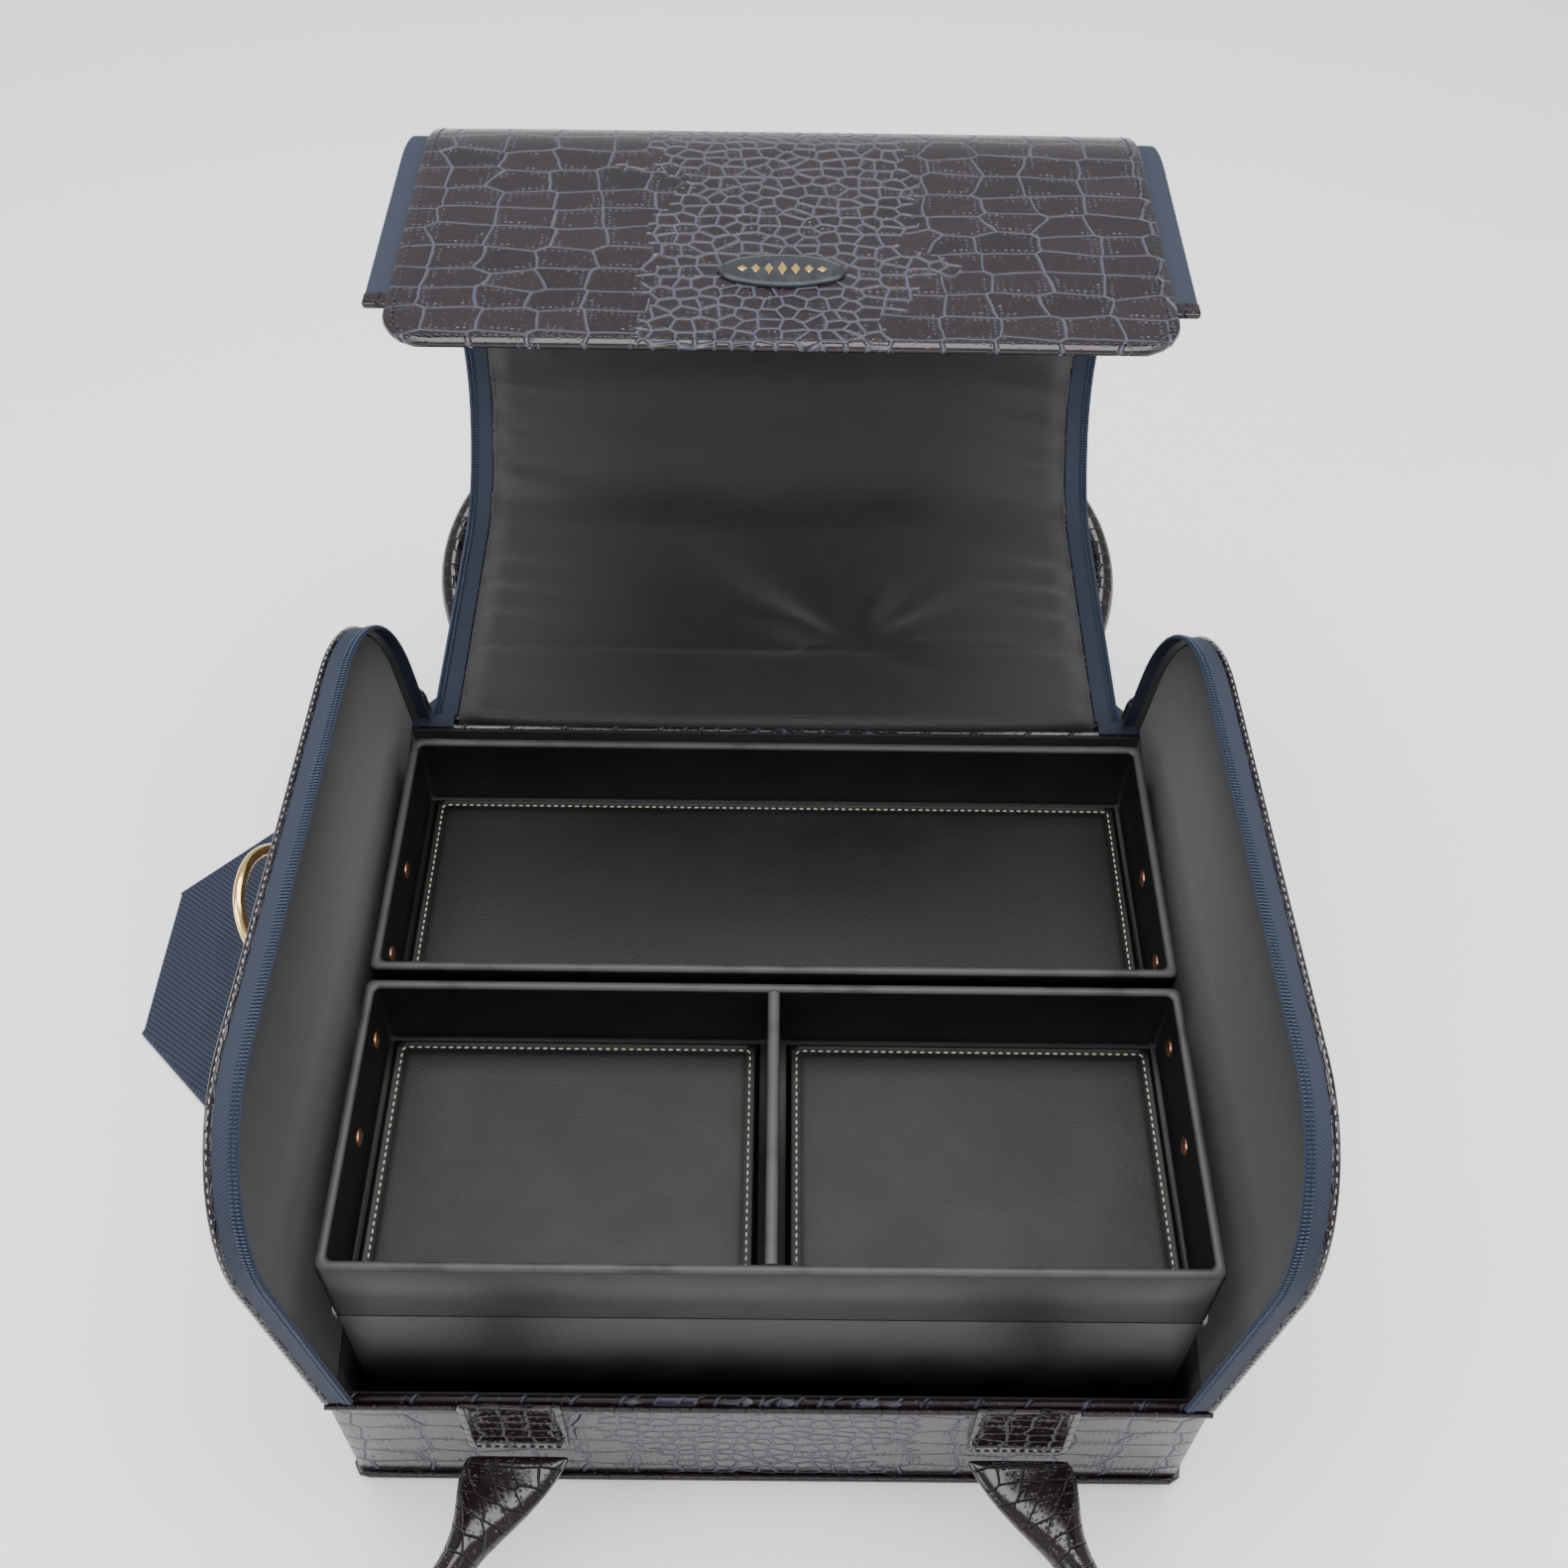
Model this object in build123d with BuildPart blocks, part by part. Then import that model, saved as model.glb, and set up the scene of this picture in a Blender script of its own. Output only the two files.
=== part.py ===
"""Makeup train case: a soft croc-skin case with a fold-back lid and a lift-out box under two cantilever trays.

Millimetres, +X right, +Y back, +Z up. The origin is the centre of the underside, on the surface the case stands on.
At rest the case is open: lid folded back, sides splayed, trays closed over the box, front handle on the table.
"""
from build123d import *
from math import asin, cos, degrees, radians, sin
import os

os.makedirs("parts", exist_ok=True)

# ---- Driving dimensions: case ----
case_width = 348
case_depth = 294
base_thickness = 4
wall = 4
lining = 1
front_height = 86
back_height = 155
side_height = 250
corner_radius = 60
splay = 6

# ---- Driving dimensions: trays, box and arms ----
tray_width = 325
tray_depth = 122.5
tray_height = 40
tray_gap = 5
tray_wall = 4
tray_floor = 3
tray_front_y = -135
rim_height = 180
divider_thickness = 5
pad_margin = 3
pad_thickness = 4
box_step = 2
box_wall = 4
box_floor = 4
arm_length = 61
arm_lean = 60
arm_width = 11
arm_thickness = 1.5
arm_spacing = 43.5
rivet_inset = 18
rivet_drop = 17
pin_radius = 2.5
head_radius = 3.8
head_thickness = 1.2
shoulder_radius = 5

# ---- Driving dimensions: lid and zips ----
lid_width = 304
lid_thickness = 4
lid_bends = (61.2, 113.6, 150, 206.4)
bend_angle = 45
lid_upright = 107.4
lid_flap = 104
tongue_length = 28
tongue_corner = 20
strip_drop = 20
strip_thickness = 3
side_tape_width = 12
lid_tape_width = 9
tape_thickness = 1
coil_width = 2.4
coil_height = 2
badge_length = 50
badge_width = 20
badge_thickness = 2.5
badge_setback = 47
slider_width = 6
slider_depth = 4
slider_length = 10
slider_rise = 6
slider_edge = 0.5
pull_width = 5
pull_thickness = 1.2
pull_length = 22

# ---- Driving dimensions: handles, rings and shoulder strap ----
tab_width = 41
tab_thickness = 2.5
tab_centre = 102
tab_bottom = 40
handle_radius = 7.5
handle_root = 6
handle_flare = 60
handle_reach = 270
handle_widest = 196
handle_widest_at = 180
handle_end = 120
handle_side_bend = 90
handle_end_bend = 110
rear_handle_lift = 20
ring_wire = 2.2
ring_bar = 52
ring_depth = 36
ring_corner = 4.5
ring_bow = 25
ring_height = 198
ring_raised = 66
ring_hanging = -84
ring_tab_width = 42
ring_tab_drop = 44
ring_tab_thickness = 2
ring_loop_wall = 1.6
webbing_width = 50
webbing = 2
strap_top = 72
strap_bottom = 14
strap_anchor_y = 45
strap_foot = 13
strap_left_gap = 119
strap_right_gap = 51
strap_back_gap = 33
strap_slider_x = 60
strap_slider_bar = 4
strap_slider_slot = 8
strap_slider_thickness = 3
piping = 3
piping_drop = 1
base_piping = 2
base_piping_bottom = 2
base_piping_height = 4

# ---- Clearances ----
seat = 0.3
running = 0.05
open_pivot = 0.3
arm_play = 0.2
lid_clearance = 3.3

# ---- Derived places ----
half_width = case_width / 2
half_depth = case_depth / 2
fold_slope = (back_height - front_height) / case_depth
back_panel_height = back_height - wall * fold_slope
box_width = tray_width - 2 * box_step
box_bottom = base_thickness + lining + seat
tray_bottom = rim_height - tray_height
box_top = tray_bottom - seat
tray_back_y = tray_front_y + 2 * tray_depth + tray_gap
tray_middle_y = (tray_front_y + tray_back_y) / 2
arm_rise = arm_length * cos(radians(arm_lean))
arm_run = arm_length * sin(radians(arm_lean))
tray_pivot_z = rim_height - rivet_drop
box_pivot_z = tray_pivot_z - arm_rise
arm_x = tray_width / 2 + arm_play
strap_left = half_width + strap_left_gap
strap_right = half_width + strap_right_gap
strap_back_y = half_depth + strap_back_gap
lid_hinge = Vector(half_depth + lid_clearance, back_height)
handle_y = half_depth + tab_thickness + seat + handle_root / 2
floor_angle = degrees(asin((tab_bottom - handle_radius - seat) / handle_reach))


def save(piece, name):
    """Label a finished piece and write its STEP file."""
    piece.label = name
    export_step(piece, f"parts/{name}.step")


# ---- Case shell ----
with BuildPart() as base_board:
    Box(case_width, case_depth, base_thickness, align=(Align.CENTER, Align.CENTER, Align.MIN))
save(base_board.part, "base_board")

with BuildPart() as base_lining:
    with BuildSketch(Plane.XY.offset(base_thickness)):
        Rectangle(case_width - 2 * wall, case_depth - 2 * wall)
    extrude(amount=lining)
save(base_lining.part, "base_lining")

with BuildPart() as front_panel:
    with BuildSketch(Plane.XY.offset(base_thickness)):
        with Locations((0, wall / 2 - half_depth)):
            Rectangle(case_width, wall)
    extrude(amount=front_height - base_thickness)
save(front_panel.part, "front_panel")

with BuildPart() as back_panel:
    with BuildSketch(Plane.XY.offset(base_thickness)):
        with Locations((0, half_depth - wall / 2)):
            Rectangle(case_width, wall)
    extrude(amount=back_panel_height - base_thickness)
save(back_panel.part, "back_panel")

for side, hand in ((-1, "left"), (1, "right")):
    inner_depth = half_depth - wall
    with BuildPart() as side_lower:
        with BuildSketch(Plane.YZ.offset(side * (half_width - wall / 2))):
            Polygon(
                (-inner_depth, base_thickness),
                (inner_depth, base_thickness),
                (inner_depth, back_height - wall * fold_slope),
                (-inner_depth, front_height + wall * fold_slope),
                align=None,
            )
        extrude(amount=wall / 2, both=True)
    save(side_lower.part, f"side_lower_{hand}")

with BuildPart() as base_piping_loop:
    with BuildSketch(Plane.XY.offset(base_piping_bottom)):
        RectangleRounded(case_width + 2 * base_piping, case_depth + 2 * base_piping, base_piping)
        Rectangle(case_width, case_depth, mode=Mode.SUBTRACT)
    extrude(amount=base_piping_height)
save(base_piping_loop.part, "base_piping")

with BuildPart() as front_piping:
    with BuildSketch(Plane.XY.offset(front_height - piping_drop - piping)):
        with Locations((0, -half_depth - piping / 2)):
            Rectangle(case_width, piping)
        with Locations((-tab_centre, -half_depth - piping / 2), (tab_centre, -half_depth - piping / 2)):
            Rectangle(tab_width + 2 * seat, piping, mode=Mode.SUBTRACT)
    extrude(amount=piping)
save(front_piping.part, "front_piping")

with BuildPart() as lid_strip:
    with BuildSketch(Plane.XY.offset(back_height - strip_drop)):
        with Locations((0, half_depth + strip_thickness / 2)):
            Rectangle(lid_width, strip_thickness)
    extrude(amount=strip_drop)
save(lid_strip.part, "lid_strip")

for facing, end in ((-1, "front"), (1, "rear")):
    with BuildPart() as tabs:
        with BuildSketch(Plane.XY.offset(tab_bottom)):
            with Locations(*[(x, facing * (half_depth + tab_thickness / 2)) for x in (-tab_centre, tab_centre)]):
                Rectangle(tab_width, tab_thickness)
        extrude(amount=front_height - tab_bottom)
    save(tabs.part, f"{end}_handle_tabs")


# ---- Splaying sides: each is drawn on its own tilted plane, with the closed case's depth and height ----
def side_plane(side):
    """Outer face of an upper side panel at rest, turned out by the splay about the slanted fold."""
    fold = Axis((0, 0, 0), (0, case_depth, back_height - front_height))
    return Plane(
        origin=(side * half_width, -half_depth, front_height),
        x_dir=Vector(0, side, 0).rotate(fold, side * splay),
        z_dir=Vector(side, 0, 0).rotate(fold, side * splay),
    )


def on_side(side, y, z):
    """Where a point of the closed side lies on its tilted plane."""
    return side * (y + half_depth), z - front_height


def side_outline(side, grow):
    """Outline of an upper side panel above its fold, grown outwards."""
    corners = (
        (-half_depth, front_height),
        (-half_depth, side_height),
        (half_depth, side_height),
        (half_depth, back_height),
    )
    past = case_depth
    below = (
        (-past, front_height + seat + (half_depth - past) * fold_slope),
        (past, front_height + seat + (half_depth + past) * fold_slope),
        (past, -side_height),
        (-past, -side_height),
    )
    with BuildSketch() as outline:
        Polygon(*[on_side(side, y, z) for y, z in corners], align=None)
        fillet(outline.vertices().sort_by(Axis.Y)[-2:], corner_radius)
        if grow:
            offset(amount=grow)
        Polygon(*[on_side(side, y, z) for y, z in below], align=None, mode=Mode.SUBTRACT)
    return outline.sketch


ring_loop = ring_wire + running + ring_loop_wall
slider_y = half_depth + coil_height + seat + slider_depth / 2
slider_z = back_height + slider_rise
slider_depth_in = side_tape_width - slider_width / 2
pull_y = slider_y + slider_depth / 2 + seat + pull_thickness / 2

for side, hand in ((-1, "left"), (1, "right")):
    outer = side_plane(side)

    with BuildPart() as side_panel:
        with BuildSketch(outer):
            add(side_outline(side, 0))
        extrude(amount=lining - wall)
    save(side_panel.part, f"side_panel_{hand}")

    with BuildPart() as side_lining:
        with BuildSketch(outer.offset(lining - wall)):
            add(side_outline(side, 0))
        extrude(amount=-lining)
    save(side_lining.part, f"side_lining_{hand}")

    with BuildPart() as side_zip:
        with BuildSketch(outer.offset(-side_tape_width)):
            add(side_outline(side, tape_thickness))
            add(side_outline(side, 0), mode=Mode.SUBTRACT)
        extrude(amount=side_tape_width)
        with BuildSketch(outer.offset(-side_tape_width)):
            add(side_outline(side, coil_height))
            add(side_outline(side, 0), mode=Mode.SUBTRACT)
        extrude(amount=coil_width)
    save(side_zip.part, f"side_zip_{hand}")

    with BuildPart() as zip_slider:
        with BuildSketch(outer.offset(-slider_depth_in)):
            with Locations(on_side(side, slider_y, slider_z + slider_length / 2)):
                Rectangle(slider_depth, slider_length)
        extrude(amount=slider_width / 2, both=True)
        fillet(zip_slider.edges().filter_by(outer), slider_edge)
    save(zip_slider.part, f"zip_slider_{hand}")

    with BuildPart() as zip_pull:
        with BuildSketch(outer.offset(-slider_depth_in)):
            with Locations(on_side(side, pull_y, slider_z + slider_length / 2 - pull_length / 2)):
                Rectangle(pull_thickness, pull_length)
        extrude(amount=pull_width / 2, both=True)
    save(zip_pull.part, f"zip_pull_{hand}")

    ring_centre = on_side(side, 0, ring_height)
    with BuildPart() as ring_tab:
        with BuildSketch(outer):
            with Locations((ring_centre[0], ring_centre[1] - ring_tab_drop / 2)):
                Rectangle(ring_tab_width, ring_tab_drop)
        extrude(amount=ring_tab_thickness)
        loop_plane = Plane(
            origin=outer.from_local_coords((ring_centre[0] - ring_tab_width / 2, ring_centre[1], ring_loop)),
            x_dir=outer.z_dir,
            z_dir=outer.x_dir,
        )
        with BuildSketch(loop_plane):
            Circle(ring_loop)
        extrude(amount=ring_tab_width)
        with BuildSketch(loop_plane):
            Circle(ring_wire + running)
        extrude(amount=ring_tab_width, mode=Mode.SUBTRACT)
    save(ring_tab.part, f"ring_tab_{hand}")

    ring_angle = radians(ring_raised if side < 0 else ring_hanging)
    ring_out = outer.z_dir * cos(ring_angle) + outer.y_dir * sin(ring_angle)
    ring_plane = Plane(
        origin=outer.from_local_coords((*ring_centre, ring_loop)),
        x_dir=outer.x_dir,
        z_dir=outer.x_dir.cross(ring_out),
    )
    with BuildPart() as d_ring:
        with BuildLine(ring_plane):
            bow = FilletPolyline(
                (ring_bar / 2, 0),
                (ring_bar / 2, ring_depth),
                (-ring_bar / 2, ring_depth),
                (-ring_bar / 2, 0),
                radius=[ring_corner, ring_bow, ring_bow, ring_corner],
                close=True,
            )
        with BuildSketch(Plane(origin=bow @ 0, z_dir=bow % 0)):
            Circle(ring_wire)
        sweep()
    save(d_ring.part, f"d_ring_{hand}")


# ---- Lid: five slabs joined by soft bends, drawn as a profile along its inner surface ----
def lid_path():
    """Hinge and bend points of the open lid as (y, z), with the heading after each."""
    stations = [(lid_hinge, 0)]
    reached = 0
    for number, bend in enumerate(lid_bends):
        point, heading = stations[-1]
        step = Vector(bend - reached, 0).rotate(Axis.Z, heading)
        stations.append((point + step, heading + (bend_angle if number > 1 else 0)))
        reached = bend
    return stations


def lid_profile(number, depth):
    """Section of one lid slab, from its inner surface outwards to the depth."""
    start, heading = lid_path()[number - 1]
    along = Vector(1, 0).rotate(Axis.Z, heading)
    out = Vector(0, -1).rotate(Axis.Z, heading)
    first = start + along * seat / 2
    with BuildSketch() as section:
        if number <= len(lid_bends):
            last = lid_path()[number][0] - along * seat / 2
            Polygon(first, last, last + out * depth, first + out * depth, align=None)
        else:
            turn = start + along * lid_upright
            with BuildLine():
                inner = Line(first, turn)
                inner_corner = JernArc(inner @ 1, along, corner_radius + lid_clearance, 90)
                inner_flap = Line(inner_corner @ 1, inner_corner @ 1 - out * lid_flap)
                outer_line = Line(first + out * depth, turn + out * depth)
                outer_corner = JernArc(outer_line @ 1, along, corner_radius + lid_clearance + depth, 90)
                outer_flap = Line(outer_corner @ 1, outer_corner @ 1 - out * lid_flap)
                Line(inner @ 0, outer_line @ 0)
                Line(inner_flap @ 1, outer_flap @ 1)
            make_face()
    return section.sketch


for number in range(1, len(lid_bends) + 2):
    with BuildPart() as lid_panel:
        with BuildSketch(Plane.YZ):
            add(lid_profile(number, lid_thickness))
        extrude(amount=lid_width / 2, both=True)
    save(lid_panel.part, f"lid_panel_{number}")

    with BuildPart() as lid_zip:
        with BuildSketch(Plane.YZ.offset(lid_width / 2)):
            add(lid_profile(number, tape_thickness))
        extrude(amount=lid_tape_width)
        with BuildSketch(Plane.YZ.offset(lid_width / 2 + lid_tape_width - coil_width)):
            add(lid_profile(number, coil_height))
        extrude(amount=coil_width)
        mirror(about=Plane.YZ)
    save(lid_zip.part, f"lid_zip_{number}")

upright_y, upright_z = lid_path()[-1][0].X, lid_path()[-1][0].Y + lid_upright
flap_end_y = upright_y - corner_radius - lid_clearance - lid_flap
flap_z = upright_z + corner_radius + lid_clearance
tongue_tip_y = flap_end_y - tongue_length

with BuildPart() as lid_tongue:
    with BuildSketch(Plane.XY.offset(flap_z)) as tongue:
        with Locations((0, flap_end_y - tongue_length / 2)):
            Rectangle(lid_width, tongue_length)
        fillet(tongue.vertices().group_by(Axis.Y)[0], tongue_corner)
    extrude(amount=lid_thickness)
save(lid_tongue.part, "lid_tongue")

with BuildPart() as badge:
    with BuildSketch(Plane.XY.offset(flap_z + lid_thickness)):
        with Locations((0, tongue_tip_y + badge_setback)):
            Ellipse(badge_length / 2, badge_width / 2)
    extrude(amount=badge_thickness)
save(badge.part, "badge")

# ---- Lift-out box and its trays ----
with BuildPart() as box_shell:
    with BuildSketch(Plane.XY.offset(box_bottom)):
        with Locations((0, tray_middle_y)):
            Rectangle(box_width, tray_back_y - tray_front_y)
    extrude(amount=box_top - box_bottom)
    with BuildSketch(Plane.XY.offset(box_bottom + box_floor)):
        with Locations((0, tray_middle_y)):
            Rectangle(box_width - 2 * box_wall, tray_back_y - tray_front_y - 2 * box_wall)
    extrude(amount=box_top - box_bottom - box_floor, mode=Mode.SUBTRACT)
    with BuildSketch(Plane.YZ):
        with Locations(*[
            (tray_middle_y + facing * (tray_gap / 2 + rivet_inset + step + arm_run), box_pivot_z)
            for facing in (-1, 1)
            for step in (0, arm_spacing)
        ]):
            Circle(pin_radius + running)
    extrude(amount=box_width, both=True, mode=Mode.SUBTRACT)
save(box_shell.part, "box_shell")

with BuildPart() as box_pad:
    with BuildSketch(Plane.XY.offset(box_bottom + box_floor)):
        with Locations((0, tray_middle_y)):
            Rectangle(
                box_width - 2 * box_wall - 2 * pad_margin,
                tray_back_y - tray_front_y - 2 * box_wall - 2 * pad_margin,
            )
    extrude(amount=pad_thickness)
save(box_pad.part, "box_pad")


def rivets(centres, wall_inside, wall_outside):
    """Shouldered rivets on both sides: inner head, shank through the wall and arm, shoulder and outer head."""
    arm_face = arm_x + arm_thickness + arm_play
    with BuildPart() as group:
        with BuildSketch(Plane.YZ.offset(wall_inside - head_thickness)):
            with Locations(*centres):
                Circle(head_radius)
        extrude(amount=head_thickness)
        with BuildSketch(Plane.YZ.offset(wall_inside)):
            with Locations(*centres):
                Circle(pin_radius)
        extrude(amount=arm_face - wall_inside)
        if wall_outside < arm_x - arm_play:
            with BuildSketch(Plane.YZ.offset(wall_outside)):
                with Locations(*centres):
                    Circle(shoulder_radius)
            extrude(amount=arm_x - arm_play - wall_outside)
        with BuildSketch(Plane.YZ.offset(arm_face)):
            with Locations(*centres):
                Circle(head_radius)
        extrude(amount=head_thickness)
        mirror(about=Plane.YZ)
    return group.part


box_pins = []
for facing, end in ((-1, "front"), (1, "rear")):
    tray_y = tray_middle_y + facing * (tray_gap + tray_depth) / 2
    inner_pivot = tray_middle_y + facing * (tray_gap / 2 + rivet_inset)
    outer_pivot = inner_pivot + facing * arm_spacing
    tray_pins = [(inner_pivot, tray_pivot_z), (outer_pivot, tray_pivot_z)]
    box_pins += [(y + facing * arm_run, box_pivot_z) for y, _ in tray_pins]

    with BuildPart() as tray:
        with BuildSketch(Plane.XY.offset(tray_bottom)):
            with Locations((0, tray_y)):
                Rectangle(tray_width, tray_depth)
        extrude(amount=tray_height)
        with BuildSketch(Plane.XY.offset(tray_bottom + tray_floor)):
            with Locations((0, tray_y)):
                Rectangle(tray_width - 2 * tray_wall, tray_depth - 2 * tray_wall)
        extrude(amount=tray_height - tray_floor, mode=Mode.SUBTRACT)
        with BuildSketch(Plane.YZ):
            with Locations(*tray_pins):
                Circle(pin_radius + running)
        extrude(amount=tray_width, both=True, mode=Mode.SUBTRACT)
    save(tray.part, f"{end}_tray")
    save(rivets(tray_pins, tray_width / 2 - tray_wall, tray_width / 2), f"{end}_tray_rivets")

    for place, pivot, fit in (("outer", outer_pivot, running), ("inner", inner_pivot, open_pivot)):
        foot = pivot + facing * arm_run
        with BuildPart() as arms:
            with BuildSketch(Plane.YZ.offset(arm_x)):
                with Locations(((pivot + foot) / 2, (tray_pivot_z + box_pivot_z) / 2)):
                    SlotCenterToCenter(arm_length, arm_width, rotation=facing * (arm_lean - 90))
                with Locations((foot, box_pivot_z)):
                    Circle(pin_radius + running, mode=Mode.SUBTRACT)
                with Locations((pivot, tray_pivot_z)):
                    Circle(pin_radius + fit, mode=Mode.SUBTRACT)
            extrude(amount=arm_thickness)
            mirror(about=Plane.YZ)
        save(arms.part, f"{end}_{place}_arms")

save(rivets(box_pins, box_width / 2 - box_wall, box_width / 2), "box_rivets")

front_tray_y = tray_middle_y - (tray_gap + tray_depth) / 2
rear_tray_y = tray_middle_y + (tray_gap + tray_depth) / 2
tray_inside = tray_width - 2 * tray_wall
cell_width = (tray_inside - divider_thickness) / 2
cell_x = (cell_width + divider_thickness) / 2
pad_depth = tray_depth - 2 * tray_wall - 2 * pad_margin

with BuildPart() as tray_divider:
    with BuildSketch(Plane.XY.offset(tray_bottom + tray_floor)):
        with Locations((0, front_tray_y)):
            Rectangle(divider_thickness, tray_depth - 2 * tray_wall)
    extrude(amount=tray_height - tray_floor)
save(tray_divider.part, "tray_divider")

pads = (
    ("front_pad_left", -cell_x, front_tray_y, cell_width),
    ("front_pad_right", cell_x, front_tray_y, cell_width),
    ("rear_pad", 0, rear_tray_y, tray_inside),
)
for name, x, y, width in pads:
    with BuildPart() as pad:
        with BuildSketch(Plane.XY.offset(tray_bottom + tray_floor)):
            with Locations((x, y)):
                Rectangle(width - 2 * pad_margin, pad_depth)
        extrude(amount=pad_thickness)
    save(pad.part, name)

# ---- Carrying handles: a rolled loop with flat flared ends ----
for facing, end, angle in ((-1, "front", -floor_angle), (1, "rear", rear_handle_lift)):
    reach = Vector(0, facing * cos(radians(angle)), sin(radians(angle)))
    lying = Plane(origin=(0, facing * handle_y, tab_bottom), x_dir=(1, 0, 0), z_dir=Vector(1, 0, 0).cross(reach))
    flare = Vector(handle_widest - tab_centre, handle_widest_at).normalized()
    with BuildPart() as handle:
        for x in (-1, 1):
            root = Plane(origin=lying.from_local_coords((x * tab_centre, 0)), x_dir=(1, 0, 0), z_dir=reach)
            slant = Vector(x * flare.X, flare.Y)
            neck = Plane(
                origin=lying.from_local_coords((x * tab_centre + slant.X * handle_flare, slant.Y * handle_flare)),
                z_dir=lying.x_dir * slant.X + lying.y_dir * slant.Y,
            )
            with BuildSketch(root):
                Rectangle(tab_width, handle_root)
            with BuildSketch(neck):
                Circle(handle_radius)
            loft()
            with BuildSketch(Plane.YZ.offset(x * tab_centre - tab_width / 2)):
                with Locations((facing * handle_y, tab_bottom)):
                    Circle(handle_root / 2)
            extrude(amount=tab_width)
        with BuildLine(lying):
            FilletPolyline(
                (tab_centre + flare.X * handle_flare, flare.Y * handle_flare),
                (handle_widest, handle_widest_at),
                (handle_end, handle_reach),
                (-handle_end, handle_reach),
                (-handle_widest, handle_widest_at),
                (-tab_centre - flare.X * handle_flare, flare.Y * handle_flare),
                radius=[handle_side_bend, handle_end_bend, handle_end_bend, handle_side_bend],
            )
        with BuildSketch(neck):
            Circle(handle_radius)
        sweep()
    save(handle.part, f"{end}_handle")

# ---- Shoulder strap: sewn to both sides, lying on the table round the back of the case ----
strap_end_y = strap_anchor_y - webbing_width / 2
strap_far_y = strap_back_y + webbing_width / 2
layer = webbing + running

for side, hand, run_x in ((-1, "left", strap_left), (1, "right", strap_right)):
    outer_x = run_x + webbing_width / 2
    with BuildPart() as strap_end:
        with BuildSketch(Plane.XZ.offset(-strap_end_y)):
            Polygon(
                (side * half_width, strap_top),
                (side * (half_width + webbing), strap_top),
                (side * (half_width + webbing), strap_bottom + webbing / 2),
                (side * (half_width + strap_foot), webbing),
                (side * outer_x, webbing),
                (side * outer_x, 0),
                (side * (half_width + strap_foot), 0),
                (side * half_width, strap_bottom),
                align=None,
            )
        extrude(amount=-webbing_width)
        with BuildSketch() as cut:
            Polygon(
                (side * outer_x, strap_end_y),
                (side * outer_x, strap_end_y + webbing_width),
                (side * (outer_x - webbing_width), strap_end_y),
                align=None,
            )
        extrude(amount=webbing, mode=Mode.SUBTRACT)
    save(strap_end.part, f"strap_end_{hand}")

    with BuildPart() as strap_side:
        with BuildSketch(Plane.XY.offset(layer)):
            Polygon(
                (side * (outer_x - webbing_width), strap_end_y),
                (side * outer_x, strap_end_y + webbing_width),
                (side * outer_x, strap_far_y - webbing_width),
                (side * (outer_x - webbing_width), strap_far_y),
                align=None,
            )
        extrude(amount=webbing)
    save(strap_side.part, f"strap_side_{hand}")

with BuildPart() as strap_back:
    left_edge = -strap_left - webbing_width / 2
    right_edge = strap_right + webbing_width / 2
    with BuildSketch():
        Polygon(
            (left_edge, strap_far_y - webbing_width),
            (left_edge + webbing_width, strap_far_y),
            (right_edge - webbing_width, strap_far_y),
            (right_edge, strap_far_y - webbing_width),
            align=None,
        )
    extrude(amount=webbing)
save(strap_back.part, "strap_back")

with BuildPart() as strap_slider:
    with BuildSketch(Plane.XY.offset(webbing + seat)):
        with Locations((strap_slider_x, strap_back_y)):
            RectangleRounded(
                3 * strap_slider_bar + 2 * strap_slider_slot,
                webbing_width + 2 * strap_slider_bar,
                strap_slider_bar,
            )
        with Locations(*[
            (strap_slider_x + x * (strap_slider_bar + strap_slider_slot) / 2, strap_back_y) for x in (-1, 1)
        ]):
            Rectangle(strap_slider_slot, webbing_width + seat, mode=Mode.SUBTRACT)
    extrude(amount=strap_slider_thickness)
save(strap_slider.part, "strap_slider")
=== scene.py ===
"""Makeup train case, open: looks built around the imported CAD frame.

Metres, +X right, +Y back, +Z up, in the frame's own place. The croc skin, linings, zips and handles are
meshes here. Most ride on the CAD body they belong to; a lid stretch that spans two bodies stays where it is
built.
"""
import bisect
import math

import bmesh
import bpy
from mathutils import Matrix, Vector


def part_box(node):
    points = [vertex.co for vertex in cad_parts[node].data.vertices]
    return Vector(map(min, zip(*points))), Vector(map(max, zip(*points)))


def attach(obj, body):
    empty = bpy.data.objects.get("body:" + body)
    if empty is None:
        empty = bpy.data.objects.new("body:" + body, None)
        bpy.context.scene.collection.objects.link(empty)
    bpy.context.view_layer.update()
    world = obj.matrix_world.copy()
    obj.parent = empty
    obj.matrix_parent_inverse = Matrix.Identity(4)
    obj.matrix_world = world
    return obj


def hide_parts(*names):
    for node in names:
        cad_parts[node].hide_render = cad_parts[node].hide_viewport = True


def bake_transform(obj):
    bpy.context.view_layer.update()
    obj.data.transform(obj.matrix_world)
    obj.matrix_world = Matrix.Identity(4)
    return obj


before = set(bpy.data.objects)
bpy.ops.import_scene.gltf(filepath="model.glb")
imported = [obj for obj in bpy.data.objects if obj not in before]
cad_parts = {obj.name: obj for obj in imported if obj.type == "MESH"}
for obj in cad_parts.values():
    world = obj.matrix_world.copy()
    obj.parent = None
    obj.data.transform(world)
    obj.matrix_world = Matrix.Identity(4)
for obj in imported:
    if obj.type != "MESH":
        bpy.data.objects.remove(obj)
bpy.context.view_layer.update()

MM = 0.001
X, Y, Z = Vector((1, 0, 0)), Vector((0, 1, 0)), Vector((0, 0, 1))

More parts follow.
